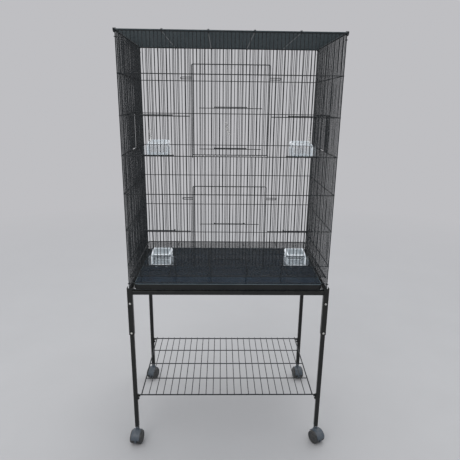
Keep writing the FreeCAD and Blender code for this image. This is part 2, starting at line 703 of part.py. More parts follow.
def leg_plugs():
    """Plastic plugs in the legs' feet, bored for the caster stems."""
    plugs = []
    half = LEG_SIZE / 2
    body = half - LEG_WALL - GAP
    for side_x, side_y in CORNERS.values():
        x, y = side_x * LEG_X, side_y * LEG_Y
        foot = LEG_FOOT - PLUG_FLANGE
        plug = box(V(x - half, y - half, foot), V(x + half, y + half, LEG_FOOT))
        plug = plug.fuse(box(V(x - body, y - body, LEG_FOOT), V(x + body, y + body, LEG_FOOT + PLUG_DEPTH)))
        bore = Part.makeCylinder(STEM_DIAMETER / 2 + PIN_GAP, PLUG_FLANGE + PLUG_DEPTH, V(x, y, foot))
        plugs.append(plug.cut(bore))
    return plugs


# --- Shelf ----------------------------------------------------------------------------------
def wire_shelf():
    """The shelf: cross wires on long wires, whose two stout outer ones reach the legs' brackets."""
    wires = []
    reach = LEG_X - LEG_SIZE / 2 - BRACKET_PLATE - GAP
    edge_x = SHELF_EDGE_X - SHELF_BORDER / 2
    edge_y = SHELF_EDGE_Y - SHELF_BORDER / 2
    for number in range(SHELF_LONG_SPACES + 1):
        outer = number in (0, SHELF_LONG_SPACES)
        y = edge_y * (2 * number / SHELF_LONG_SPACES - 1)
        diameter = SHELF_BORDER if outer else SHELF_LONG_WIRE
        end = reach if outer else edge_x + SHELF_BORDER / 2
        height = SHELF_HEIGHT + (SHELF_BORDER - diameter) / 2
        wires.append(rod(V(-end, y, height), V(end, y, height), diameter, STOUT_SIDES))
    for number in range(SHELF_CROSS_SPACES + 1):
        outer = number in (0, SHELF_CROSS_SPACES)
        x = edge_x * (2 * number / SHELF_CROSS_SPACES - 1)
        diameter = SHELF_BORDER if outer else SHELF_CROSS_WIRE
        height = SHELF_HEIGHT + SHELF_BORDER / 2 + diameter / 2
        end = edge_y + SHELF_BORDER / 2
        wires.append(rod(V(x, -end, height), V(x, end, height), diameter))
    return wires


def shelf_brackets():
    """Hooked steel brackets on the legs' inner faces, under the ends of the shelf's outer wires."""
    brackets = []
    wire_y = SHELF_EDGE_Y - SHELF_BORDER / 2
    seat = SHELF_HEIGHT - SHELF_BORDER / 2
    for side_x, side_y in CORNERS.values():
        face = LEG_X - LEG_SIZE / 2

        def plate(near, far, low_y, high_y, low, high):
            xs = sorted((side_x * (face - near), side_x * (face - far)))
            ys = sorted((side_y * low_y, side_y * high_y))
            return box(V(xs[0], ys[0], low), V(xs[1], ys[1], high))

        inner_y, outer_y = wire_y - BRACKET_WIDTH / 2, wire_y + BRACKET_WIDTH / 2
        top = seat + SHELF_BORDER
        back = plate(0, BRACKET_PLATE, inner_y, outer_y, top - BRACKET_HEIGHT, top)
        reach = BRACKET_PLATE + BRACKET_REACH
        ledge = plate(BRACKET_PLATE, reach, inner_y, outer_y, seat - BRACKET_PLATE, seat)
        lip_y = wire_y + SHELF_BORDER / 2 + GAP
        outer_lip = plate(BRACKET_PLATE, reach, lip_y, lip_y + BRACKET_PLATE, seat, seat + BRACKET_PLATE)
        brackets.append(back.fuse(ledge).fuse(outer_lip).removeSplitter())
    return brackets


# --- Casters --------------------------------------------------------------------------------
def caster_directions(turn):
    """The way a caster trails and the way its axle points."""
    angle = math.radians(turn)
    trail = V(math.sin(angle), -math.cos(angle), 0)
    return trail, trail.cross(UP)


def caster_hood(x, y, turn):
    """Hood over both wheels, the web between them and the boss under the stem."""
    trail, axle = caster_directions(turn)
    hub = V(x, y, WHEEL_DIAMETER / 2) + trail * TRAIL
    half = WEB_THICKNESS / 2 + WEB_GAP + WHEEL_WIDTH - HOOD_SIDE_INSET
    inner = WHEEL_DIAMETER / 2 + HOOD_CLEARANCE
    outer = inner + HOOD_WALL

    def spot(radius, angle):
        angle = math.radians(angle)
        return hub + trail * (radius * math.cos(angle)) + UP * (radius * math.sin(angle)) - axle * half

    middle = (HOOD_BACK_ANGLE + HOOD_FRONT_ANGLE) / 2
    back, front = HOOD_BACK_ANGLE, HOOD_FRONT_ANGLE
    edges = [
        Part.Arc(spot(outer, back), spot(outer, middle), spot(outer, front)).toShape(),
        Part.makeLine(spot(outer, front), spot(inner, front)),
        Part.Arc(spot(inner, front), spot(inner, middle), spot(inner, back)).toShape(),
        Part.makeLine(spot(inner, back), spot(outer, back)),
    ]
    shell = Part.Face(Part.Wire(edges)).extrude(axle * (2 * half))
    web = Part.makeCylinder(inner + HOOD_WALL / 2, WEB_THICKNESS, hub - axle * (WEB_THICKNESS / 2), axle)
    size = 4 * outer
    below = box(V(x - size, y - size, -size), V(x + size, y + size, WHEEL_DIAMETER / 4))
    boss = Part.makeCylinder(BOSS_DIAMETER / 2, BOSS_TOP - BOSS_BOTTOM, V(x, y, BOSS_BOTTOM))
    boss = boss.cut(Part.makeCylinder(inner, 2 * half, hub - axle * half, axle))
    hood = shell.fuse(web.cut(below)).fuse(boss)
    bore = Part.makeCylinder(AXLE_DIAMETER / 2 + PIN_GAP, 2 * half, hub - axle * half, axle)
    return hood.cut(bore).removeSplitter()


def caster_stem(x, y):
    """The steel stem, which turns in the leg's plug."""
    return Part.makeCylinder(STEM_DIAMETER / 2, LEG_FOOT + PLUG_DEPTH - BOSS_TOP, V(x, y, BOSS_TOP))


def caster_wheels(x, y, turn):
    """Twin wheels on their axle."""
    trail, axle = caster_directions(turn)
    hub = V(x, y, WHEEL_DIAMETER / 2) + trail * TRAIL
    inside = WEB_THICKNESS / 2 + WEB_GAP
    radius = WHEEL_DIAMETER / 2
    pieces = [Part.makeCylinder(AXLE_DIAMETER / 2, 2 * inside, hub - axle * inside, axle)]
    for way in (axle, axle * -1):
        pieces.append(Part.makeCylinder(radius, WHEEL_WIDTH, hub + way * inside, way))
    return pieces


# --- The whole ------------------------------------------------------------------------------
def main():
    os.makedirs("parts", exist_ok=True)
    save("front_panel", front_panel())
    save("back_panel", back_panel())
    save("left_panel", side_panel(LEFT))
    save("right_panel", side_panel(RIGHT_SIDE))
    save("top_panel", top_panel())
    save("base_frame", base_frame())
    save("panel_clips", panel_clips())
    save("tray", [tray()])
    save("floor_grate", floor_grate())

    door_front = DOOR_LAYER + FINE_WIRE / 2
    door_back = DOOR_LAYER - FINE_WIRE / 2
    for name, rows in zip(("upper", "lower"), DOOR_ROWS):
        save(f"{name}_door_frame", [big_door_frame(rows)])
        save(f"{name}_door", big_door(rows))
        foot = row_height(rows[1]) + SMALL_DOOR_SILL
        head = foot + SMALL_DOOR_HEIGHT
        save(f"{name}_small_door", lift_door(FRONT, 0, foot, head, door_front, door_back))
        if name == "upper":
            spring = spring_hook(FRONT, 0, foot, door_front, lean=SPRING_LEAN)
            save("spring_hook_small_door", [spring])

    for row_name, (top, bottom) in zip(("upper", "lower"), FEEDER_ROWS):
        foot, head = row_height(bottom), row_height(top)
        for hand, end in (("left", -1), ("right", 1)):
            across = end * column(FEEDER_COLUMN)
            save(f"{row_name}_{hand}_feeder_door", lift_door(FRONT, across, foot, head, 0, PANEL_BACK))
            save(f"{row_name}_{hand}_cup", [cup(across, bottom)])
            if row_name == "upper":
                wire = across + end * column(SPRING_COLUMN)
                save(f"spring_hook_{hand}_feeder", [spring_hook(FRONT, wire, foot, 0, end)])

    foot, head = row_height(SIDE_DOOR_ROWS[1]), row_height(SIDE_DOOR_ROWS[0])
    for hand, side in (("left", LEFT), ("right", RIGHT_SIDE)):
        save(f"{hand}_side_door", lift_door(side, 0, foot, head, 0, PANEL_BACK))
        save(f"spring_hook_{hand}_side", [spring_hook(side, 0, foot, 0)])

    save("stand_rails", stand_rails())
    save("leg_bolts", leg_bolts())
    save("leg_plugs", leg_plugs())
    save("wire_shelf", wire_shelf())
    save("shelf_brackets", shelf_brackets())
    for name, (side_x, side_y) in CORNERS.items():
        x, y = side_x * LEG_X, side_y * LEG_Y
        turn = CASTER_TURN[name]
        save(f"sleeve_{name}", [sleeve(side_x, side_y)])
        save(f"leg_{name}", [leg(side_x, side_y)])
        save(f"caster_hood_{name}", [caster_hood(x, y, turn)])
        save(f"caster_stem_{name}", [caster_stem(x, y)])
        save(f"caster_wheels_{name}", caster_wheels(x, y, turn))


main()
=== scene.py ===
import json
import math
import random
from collections import namedtuple

import bmesh
import bpy
from mathutils import Matrix, Vector


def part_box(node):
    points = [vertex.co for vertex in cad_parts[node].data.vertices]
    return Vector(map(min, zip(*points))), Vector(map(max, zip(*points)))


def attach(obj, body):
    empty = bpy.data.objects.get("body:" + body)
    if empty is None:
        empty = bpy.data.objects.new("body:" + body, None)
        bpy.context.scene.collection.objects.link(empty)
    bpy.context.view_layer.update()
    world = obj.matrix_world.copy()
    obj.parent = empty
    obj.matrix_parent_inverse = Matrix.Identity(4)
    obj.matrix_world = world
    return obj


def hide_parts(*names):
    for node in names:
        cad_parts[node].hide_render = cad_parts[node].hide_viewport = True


# Looks of a black wire flight cage on a rolling stand. Metres, degrees and linear colours, in the
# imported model's frame: +Z is up, +X to the right and +Y to the back. Places come from the packed
# nodes' boxes, from their straight solids and from the joints. The sizes below are those that a
# box doesn't give.

# --- Wires, beads and blocks ----------------------------------------------------------------
FINE_WIRE = 0.0024
CROSS_WIRE = 0.003
FINE_LIMIT = 0.0013  # a wire's radius, over which it stays straight
COAT = 0.00005  # powder coat on a wire's radius
FINE_SIDES = 10
STOUT_SIDES = 12
FLAT_REACH = 1 / math.cos(math.radians(30))  # corner of a six-sided wire, against its flat
CUT_END = 0.6  # radius of a wire's rounded end, against the wire's
CUT_LENGTH = 0.45  # length of that rounding, against the wire's radius
TOUCH = 0.0003  # solids nearer than this touch
PRISM_FACES = 12  # fewer are only the cut that two runs of a bent wire share
RUNNING_GAP = 0.0003
BOW_STEP = 0.022
BOW_LEAN = 0.25  # bow across the grid's plane, against the bow in it
LEAST_STRETCH = 3  # between two welds, against the wire's radius
LONG_SPAN = 0.06  # shortest stretch between welds that shows a bow
BEND_SHARE = 0.48  # most of a straight run that one bend takes up
BEAD_TILTS = (-75, -30, 15, 50, 80)
BEAD_SIDES = 7
PANEL_BOW = 0.0008
DOOR_BOW = 0.0003
WELD_SIZE = (1.15, 1.4)  # half size of a weld bead, against the thinner wire's radius
WELD_RISE = 0.7
BUTT_SIZE = (1.15, 1.35)  # bead on a butted end, against the wire's radius
BAR_WELD = (0.55, 0.66)  # bead on a lift-up door's bar, against the fine wire
BLOCK_CORNER = 1.001  # upright corners of a block, against its level edges

# --- Doors, springs, rings and ties ---------------------------------------------------------
EDGE_WIRE_STEP = 0.0127  # from a side opening's edge to the second upright inside it
CURL_TURN = 270.0  # how far a frame wire's end goes round the hinge wire
DOOR_BEND = 0.0045
EAR_BEND = 0.0032
EAR_WELD = 1.4  # bead at an ear's root, against the wire's radius
HOOK_LENGTH = 0.0059  # end of a lift-up door's bar, behind its guide wire
HOOK_BEND = 0.0024
SPRING_WIRE = 0.0016
SPRING_COIL = 0.010
SPRING_PITCH = 0.008
SPRING_TURNS = 4  # whole turns
SPRING_HOOK = 0.010
SPRING_GRIP = 105.0  # how far the clasp goes round its wire, to each side
SPRING_LEAN = -0.3
SPRING_SIDES = 8
CLIP_GAPE = 60.0  # opening of a corner ring
TIE_RADIUS = 0.0062  # wire wound round the roof's edges
TIE_PITCH = 0.0034
CORNER_TURNS = 2.25
BRACE_TURNS = 1.25
TIE_REACH = 0.004  # out from the roof's ends
TIE_INSET = 0.0035  # in from its long edges
TIE_DROP = 0.0045  # down from its top

# --- Cups -----------------------------------------------------------------------------------
CUP_WIDTH = 0.076
CUP_DEPTH = 0.056
CUP_WALL = 0.0018
CUP_CORNER = 0.006
LEAST_CORNER = 0.002
# The cups' rims, corners, strips and ribs carry a painted highlight: a pale, nearly opaque paint with a faint
# glow.
PAINTED_HIGHLIGHT = 1  # paint number of a cup's bright edges
BOWL_HEIGHT = 0.030
BOWL_PROFILE = (  # height and inset, up the outside and down the inside
    (0.0, 0.004),
    (0.0012, 0.0012),
    (0.004, 0.0),
    (BOWL_HEIGHT, 0.0),
    (BOWL_HEIGHT, CUP_WALL),
    (0.006, CUP_WALL),
    (0.003, 0.003),
    (CUP_WALL, 0.006),
)
HOOD_HEIGHT = 0.042
HOOD_DEPTH = 0.053
HOOD_RISE = 0.009
HOOD_CORNER = 0.008
HOOD_CORNER_INSIDE = 0.0065
HOOD_STEPS = 5
# The rim, strip and rib below are where the cup's painted highlight lies.
HOOD_RIM = 0.001  # bright back edge
CUP_STRIP = 0.0022  # bright strip along the hood's front
CUP_RIB = 0.0034  # bright rib where two walls meet
RIB_EDGE = 0.0006
RIB_FOOT = 0.001
LEVEL_RIB = 0.8  # height of a level rib, against its width
BACK_RIB = (0.002, 0.004)  # in from the hood's back edge, and down from it
SILL_RIB = (0.003, 0.002, 0.005)  # in from the back, lower and upper edge
FLANGE_HEIGHT = 0.035
FLANGE_GAP = 0.0001  # between the winged front and the walls behind it
FLANGE_CORNER = 0.003
HEAD_CORNER = 0.006
HEAD_INSET = 0.010
LUG_PLACE = 0.01905  # lugs' middle lines, from the cup's middle
LUG_WIDTH = 0.008
LUG_LIP = 0.002
LUG_REACH = 0.0056  # out from the cup's front
LUG_DROP = 0.0036  # from the cup's foot down to the lower lip
LUG_EDGE = 0.0005

# --- Tray -----------------------------------------------------------------------------------
TRAY_WALL = 0.0022
TRAY_SLOPE = 0.040
TRAY_CORNER = 0.016
TRAY_LEAST_CORNER = 0.007
TRAY_LIP = 0.001  # from the rim down to where the margin starts
TRAY_FILLET = 0.004
TRAY_RIM_ROLL = ((0.0014, 0.0), (0.0004, 0.0004), (0.0, 0.0012), (0.0004, 0.0022))  # drop, inset
# How the margin slopes, as shares of its width and of its fall
TRAY_MARGIN = ((0.10, 0.10), (0.5, 0.5), (0.86, 0.86), (0.95, 0.938), (1.0, 0.988))

# --- Stand ----------------------------------------------------------------------------------
TUBE_CORNER = 0.0022
TUBE_EDGE = 0.0003
SLEEVE_WALL = 0.0015
LID_INSET = 0.9  # of the sleeve's wall
GUARD_HEIGHT = 0.012  # the two upstands on a sleeve
SEAM = 0.0002  # how far two forms of one piece run into each other
LEG_WALL = 0.0012
WELD_INSET = 0.0006
WELD_RADIUS = 0.0011
WELD_WANDER = 0.0002
BOLT_LIMIT = 0.0075  # a solid wider than this is a head
BOLT_HEAD = 0.009
BOLT_SIDES = 32
BOLT_PROFILE = ((0.0, 0.98), (0.15, 1.0), (0.45, 0.97), (0.7, 0.86), (0.9, 0.68))  # height, radius
SHANK_SHARE = 0.86  # thread's radius, against its solid's
SHANK_TIP = 0.0008
RECESS_REACH = 0.0026
RECESS_WAIST = 0.0005
RECESS_SPREAD = 1.3  # widens the ends of the cross
RECESS_LEVELS = ((0.0, 0.9, 1.0), (0.0012, 0.8, 0.8), (0.0022, 0.3, 0.3))  # depth, reach, waist
PLUG_FLANGE = 0.005
PLUG_EDGE = 0.0008
STEM_RADIUS = 0.005
PLATE = 0.002
PLATE_EDGE = 0.0004
BRACKET_CORNER = 0.002
BRACKET_LIP = 0.0028  # from the shelf wire's middle line
SHELF_WIRE = 0.005
BRACKET_SCREW = (  # along the screw and radius: washer and pan head
    (-0.0003, 0.0050),
    (0.0010, 0.0050),
    (0.0011, 0.0042),
    (0.0028, 0.0040),
    (0.0040, 0.0030),
    (0.0045, 0.0016),
)

# --- Casters --------------------------------------------------------------------------------
WHEEL_RADIUS = 0.027
WHEEL_WIDTH = 0.0185
WHEEL_PROFILE = (  # out from the web, and share of the wheel's radius
    (0.0, 0.010),
    (0.0, 0.60),
    (0.0, 0.91),
    (0.0009, 0.968),
    (0.0028, 1.0),
    (WHEEL_WIDTH - 0.0028, 1.0),
    (WHEEL_WIDTH - 0.0009, 0.968),
    (WHEEL_WIDTH, 0.91),
    (WHEEL_WIDTH, 0.76),
    (WHEEL_WIDTH - 0.0014, 0.73),
    (WHEEL_WIDTH - 0.0014, 0.40),
    (WHEEL_WIDTH - 0.0002, 0.35),
    (WHEEL_WIDTH, 0.31),
    (WHEEL_WIDTH, 0.05),
)
WEB = 0.008
WEB_GAP = 0.001
WEB_FOOT = 0.0135  # height of the web's lower edge
FENDER_CLEARANCE = 0.0015
FENDER_WALL = 0.0025
FENDER_INSET = 0.0055
FENDER_EDGE = 0.0011
FENDER_TRIM = 0.0006
FENDER_ANGLES = (5.0, 150.0)  # from the back, up and over the wheels
# Heights and radii: the neck from the fender's crown and from its own top, the stem from both ends
BOSS_FOOT = ((-0.0031, 0.0105), (-0.001, 0.0102), (0.0006, 0.0088), (0.002, 0.0081))
BOSS_HEAD = ((-0.002, 0.0078), (-0.001, 0.0078), (0.0, 0.0072))
PIN_FOOT = ((0.0, 0.0068), (0.0011, 0.0068), (0.0013, STEM_RADIUS))
PIN_HEAD = ((-0.001, STEM_RADIUS), (0.0, STEM_RADIUS - 0.001))

# --- Room and camera ------------------------------------------------------------------------
BACKDROP = (0.52, 0.52, 0.54)
FLOOR_TONE = (0.475, 0.465, 0.46)
FLOOR_MOTTLE = 0.97  # darker patches, against the floor's own tone
FLOOR_REACH = 9
FLOOR_FADE = (1.4, 4.5)  # distances over which the floor turns into the backdrop
HORIZON = (0.26, 0.26, 0.28)
CEILING = (1.10, 1.15, 1.22)
CEILING_SLANT = 0.3
CEILING_START = 0.75
KEY_LAMP = {"place": (-1.6, -2.4, 2.9), "target": (0, 0, 0.9), "size": 1.6, "watts": 24}
TOP_LAMP = {"place": (0.3, 0.9, 3.6), "target": (0, 0, 1.2), "size": 1.8, "watts": 22}
CAMERA_PLACE = (-0.0319, -1.768, 1.3782)
CAMERA_PITCH = 16.09
CAMERA_YAW = 1.30
CAMERA_ROLL = -0.71
CAMERA_LENS = 34.05

BLACK = (0, 0, 0)
AXES = (Vector((1, 0, 0)), Vector((0, 1, 0)), Vector((0, 0, 1)))
UP = AXES[2]
FRONT = -AXES[1]

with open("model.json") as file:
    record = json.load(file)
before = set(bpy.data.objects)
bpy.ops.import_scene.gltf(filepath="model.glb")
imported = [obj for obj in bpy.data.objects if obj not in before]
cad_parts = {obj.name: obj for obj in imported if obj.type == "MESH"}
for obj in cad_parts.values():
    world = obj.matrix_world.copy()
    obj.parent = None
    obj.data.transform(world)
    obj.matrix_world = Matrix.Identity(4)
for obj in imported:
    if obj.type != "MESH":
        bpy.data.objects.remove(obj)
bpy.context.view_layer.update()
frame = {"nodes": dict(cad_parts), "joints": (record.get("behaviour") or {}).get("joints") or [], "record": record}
chance = random.Random(7)
scene = bpy.context.scene
BODY = {node: body for body, nodes in frame["record"]["behaviour"]["bodies"].items() for node in nodes}
JOINT = {joint["name"]: joint for joint in frame["joints"]}


# --- Materials ------------------------------------------------------------------------------
class Nodes:
    """Short hand for a node tree."""

    def __init__(self, tree):
        self.tree = tree
        self.tree.nodes.clear()

    def add(self, kind, **settings):
        """A new node, with some of its settings."""
        node = self.tree.nodes.new(kind)
        for name, value in settings.items():
            setattr(node, name, value)
        return node

    def put(self, value, socket):
        """Links another socket to this one, or sets its number, vector or opaque colour."""
        if isinstance(value, bpy.types.NodeSocket):
            self.tree.links.new(value, socket)
        elif socket.type == "RGBA":
            socket.default_value = (*value, 1)
        else:
            socket.default_value = value

    def feed(self, node, **inputs):
        """Sets or links inputs by name, with _ for a space."""
        for name, value in inputs.items():
            self.put(value, node.inputs[name.replace("_", " ")])
        return node

    def place(self):
        """Places in the object's own axes."""
        return self.add("ShaderNodeTexCoord").outputs["Object"]

    def noise(self, place, scale, detail=3.0, rough=0.55):
        """Smooth noise from 0 to 1."""
        node = self.add("ShaderNodeTexNoise")
        self.feed(node, Vector=place, Scale=scale, Detail=detail, Roughness=rough)
        return node.outputs["Fac"]

    def spread(self, value, low, high, start=0.0, end=1.0):
        """Stretches the range from low to high over start to end, and clamps it."""
        node = self.add("ShaderNodeMapRange")
        self.feed(node, Value=value, From_Min=low, From_Max=high, To_Min=start, To_Max=end)
        return node.outputs["Result"]

    def maths(self, operation, first, second):
        """Two values joined by an operation."""
        node = self.add("ShaderNodeMath", operation=operation)
        self.put(first, node.inputs[0])
        self.put(second, node.inputs[1])
        return node.outputs[0]

    def plus_share(self, value, mask, share):
        """The value plus a share of the mask."""
        return self.maths("ADD", value, self.maths("MULTIPLY", mask, share))

    def blend(self, amount, first, second):
        """Colour between two colours."""
        node = self.add("ShaderNodeMix", data_type="RGBA")
        for number, value in ((0, amount), (6, first), (7, second)):
            self.put(value, node.inputs[number])
        return node.outputs[2]

    def bump(self, height, strength, distance, **more):
        """A normal that follows a height."""
        node = self.add("ShaderNodeBump")
        self.feed(node, Height=height, Strength=strength, Distance=distance, **more)
        return node.outputs["Normal"]


def new_group(name, inputs, outputs):
    """A node group with named sockets: returns its nodes, its inputs and its output node."""
    tree = bpy.data.node_groups.new(name, "ShaderNodeTree")
    for title, default in inputs.items():
        socket = tree.interface.new_socket(title, in_out="INPUT", socket_type="NodeSocketFloat")
        socket.default_value = default
    for title, kind in outputs.items():
        tree.interface.new_socket(title, in_out="OUTPUT", socket_type=kind)
    nodes = Nodes(tree)
    start = nodes.add("NodeGroupInput")
    end = nodes.add("NodeGroupOutput")
    return nodes, start.outputs, end


def dust_group():
    """Mask of dust that settles where a surface looks up, broken by noise."""
    inputs = {"Scale": 60.0, "Amount": 0.5}
    nodes, given, end = new_group("settled dust", inputs, {"Mask": "NodeSocketFloat"})
    split = nodes.add("ShaderNodeSeparateXYZ")
    nodes.put(nodes.add("ShaderNodeNewGeometry").outputs["Normal"], split.inputs[0])
    level = nodes.spread(split.outputs["Z"], 0.2, 0.95, 0.2, 1.0)
    grain = nodes.spread(nodes.noise(nodes.place(), given["Scale"], 5.0, 0.65), 0.38, 0.68)
    film = nodes.maths("MULTIPLY", level, grain)
    nodes.feed(end, Mask=nodes.maths("MULTIPLY", film, given["Amount"]))
    return nodes.tree


def skin_group():
    """Fine uneven skin of powder coat or moulded plastic: a normal and a roughness mask."""
    inputs = {"Scale": 900.0, "Depth": 0.2}
    outputs = {"Normal": "NodeSocketVector", "Mask": "NodeSocketFloat"}
    nodes, given, end = new_group("uneven skin", inputs, outputs)
    place = nodes.place()
    fine = nodes.noise(place, given["Scale"], 2.0, 0.5)
    broad = nodes.noise(place, nodes.maths("MULTIPLY", given["Scale"], 0.12), 3.0, 0.6)
    peel = nodes.bump(nodes.plus_share(fine, broad, 0.7), given["Depth"], 0.0002)
    nodes.feed(end, Normal=peel, Mask=nodes.spread(broad, 0.35, 0.7))
    return nodes.tree


def scratch_group():
    """Mask of thin scratches in two directions."""
    inputs = {"Scale": 30.0, "Amount": 0.5}
    nodes, given, end = new_group("fine scratches", inputs, {"Mask": "NodeSocketFloat"})
    place = nodes.place()
    lines = []
    for turn, stretch in ((0.35, (1.0, 14.0, 3.0)), (-0.9, (12.0, 1.0, 4.0))):
        mapping = nodes.add("ShaderNodeMapping")
        nodes.feed(mapping, Vector=place, Rotation=(0.3, 0.2, turn), Scale=stretch)
        noise = nodes.noise(mapping.outputs["Vector"], given["Scale"], 6.0, 0.7)
        lines.append(nodes.spread(noise, 0.64, 0.72))
    both = nodes.maths("MAXIMUM", *lines)
    nodes.feed(end, Mask=nodes.maths("MULTIPLY", both, given["Amount"]))
    return nodes.tree


DUST = dust_group()
SKIN = skin_group()
SCRATCHES = scratch_group()


def group_outputs(nodes, tree, **inputs):
    """Places a group, sets its inputs and returns its outputs."""
    node = nodes.add("ShaderNodeGroup", node_tree=tree)
    return nodes.feed(node, **inputs).outputs


def new_material(name):
    """A material with a Principled shader: returns the material, its nodes and the shader."""
    material = bpy.data.materials.new(name)
    material.use_nodes = True
    nodes = Nodes(material.node_tree)
    shader = nodes.add("ShaderNodeBsdfPrincipled")
    nodes.feed(nodes.add("ShaderNodeOutputMaterial"), Surface=shader.outputs[0])
    return material, nodes, shader


def lighter(colour, times):
    """A colour with all its parts times a number."""
    return [part * times for part in colour]


def coated_steel(name, colour, dusty, roughness, scale, amount):
    """Satin powder coat: orange peel, thin dust on top and duller patches."""
    material, nodes, shader = new_material(name)
    skin = group_outputs(nodes, SKIN, Scale=scale, Depth=0.35)
    dust = group_outputs(nodes, DUST, Scale=scale / 12, Amount=amount)
    scratches = group_outputs(nodes, SCRATCHES, Scale=24.0, Amount=0.35)
    tone = nodes.blend(nodes.maths("MULTIPLY", skin["Mask"], 0.6), colour, lighter(colour, 1.7))
    tone = nodes.blend(dust["Mask"], tone, dusty)
    rough = nodes.spread(skin["Mask"], 0.0, 1.0, roughness - 0.07, roughness + 0.08)
    rough = nodes.plus_share(rough, dust["Mask"], 0.3)
    rough = nodes.plus_share(rough, scratches["Mask"], 0.25)
    nodes.feed(shader, Base_Color=tone, Roughness=rough, Normal=skin["Normal"], Specular_IOR_Level=0.4)
    return material


def zinc_plate():
    """Bright zinc with a cloudy passivated film."""
    material, nodes, shader = new_material("zinc plate")
    place = nodes.place()
    cloud = nodes.spread(nodes.noise(place, 420.0, 4.0), 0.35, 0.7)
    tone = nodes.blend(cloud, (0.72, 0.73, 0.74), (0.62, 0.60, 0.52))
    rough = nodes.spread(nodes.noise(place, 1400.0, 2.0), 0.3, 0.7, 0.22, 0.42)
    normal = nodes.bump(nodes.noise(place, 2200.0, 2.0), 0.25, 0.0001)
    nodes.feed(shader, Base_Color=tone, Roughness=rough, Normal=normal, Metallic=1.0)
    return material


def moulded(name, colour, second, roughness, amount):
    """Moulded plastic: fine spark-eroded skin, mottled tone and dust on top."""
    material, nodes, shader = new_material(name)
    skin = group_outputs(nodes, SKIN, Scale=700.0, Depth=0.4)
    dust = group_outputs(nodes, DUST, Scale=90.0, Amount=amount)
    scratches = group_outputs(nodes, SCRATCHES, Scale=40.0, Amount=0.5)
    tone = nodes.blend(skin["Mask"], colour, second)
    tone = nodes.blend(dust["Mask"], tone, (0.24, 0.225, 0.20))
    tone = nodes.blend(nodes.maths("MULTIPLY", scratches["Mask"], 0.4), tone, lighter(second, 2.2))
    rough = nodes.spread(skin["Mask"], 0.0, 1.0, roughness - 0.05, roughness + 0.08)
    rough = nodes.plus_share(rough, dust["Mask"], 0.25)
    nodes.feed(shader, Base_Color=tone, Roughness=rough, Normal=skin["Normal"])
    return material


def tray_plastic(name, first, second, gloss):
    """Sheet plastic with fine scratches, a little dust and slight waviness."""
    material, nodes, shader = new_material(name)
    place = nodes.place()
    dust = group_outputs(nodes, DUST, Scale=22.0, Amount=0.05)
    scratches = group_outputs(nodes, SCRATCHES, Scale=9.0, Amount=0.7)
    cloud = nodes.spread(nodes.noise(place, 14.0, 4.0), 0.3, 0.7)
    tone = nodes.blend(dust["Mask"], nodes.blend(cloud, first, second), (0.16, 0.15, 0.13))
    rough = nodes.spread(nodes.noise(place, 260.0), 0.3, 0.7, gloss, gloss + 0.08)
    rough = nodes.plus_share(rough, scratches["Mask"], 0.25)
    rough = nodes.plus_share(rough, dust["Mask"], 0.8)
    normal = nodes.bump(nodes.noise(place, 26.0, 2.0), 0.25, 0.002)
    normal = nodes.bump(scratches["Mask"], 0.08, 0.0001, Normal=normal)
    nodes.feed(shader, Base_Color=tone, Roughness=rough, Normal=normal, Specular_IOR_Level=0.3)
    return material


def clear_plastic():
    """Clear styrene, slightly blue, with handling haze, dry water marks and glare at a low angle."""
    material, nodes, shader = new_material("clear cup plastic")
    place = nodes.place()
    haze = nodes.spread(nodes.noise(place, 60.0, 5.0, 0.65), 0.35, 0.75)
    marks = nodes.spread(nodes.noise(place, 210.0), 0.58, 0.72)
    film = nodes.plus_share(nodes.maths("MULTIPLY", haze, 0.06), marks, 0.08)
    tone = nodes.blend(haze, (0.72, 0.80, 0.84), (0.88, 0.94, 0.97))
    rough = nodes.spread(haze, 0.0, 1.0, 0.06, 0.22)
    normal = nodes.bump(nodes.noise(place, 34.0, 2.0), 0.3, 0.0012)
    glare = nodes.feed(nodes.add("ShaderNodeFresnel"), IOR=1.4).outputs["Fac"]
    clear = nodes.maths("ADD", nodes.maths("ADD", film, 0.03), glare)
    nodes.feed(shader, Base_Color=tone, Roughness=rough, Normal=normal, IOR=1.49)
    nodes.feed(shader, Alpha=nodes.maths("MINIMUM", clear, 0.4))
    return material


def painted_highlight_edge():
    """Painted highlight on the edges of the clear cups: pale, nearly opaque and faintly glowing, so that they look
    lit and frosted.
    """
    material, nodes, shader = new_material("cup edge painted highlight")
    grain = nodes.spread(nodes.noise(nodes.place(), 900.0), 0.3, 0.7)
    tone = nodes.blend(grain, (0.97, 0.98, 0.99), (0.86, 0.91, 0.95))
    rough = nodes.spread(grain, 0.0, 1.0, 0.22, 0.42)
    nodes.feed(shader, Base_Color=tone, Roughness=rough, IOR=1.49)
    # A faint painted glow, with no lamp behind it.
    nodes.feed(shader, Emission_Color=(0.9, 0.96, 1.0), Emission_Strength=0.14)
    nodes.feed(shader, Alpha=nodes.spread(grain, 0.0, 1.0, 0.86, 0.98))
    return material


WIRE_PAINT = coated_steel(
    "black wire coat",
    colour=(0.006, 0.009, 0.011),
    dusty=(0.20, 0.19, 0.17),
    roughness=0.30,
    scale=1100.0,
    amount=0.11,
)
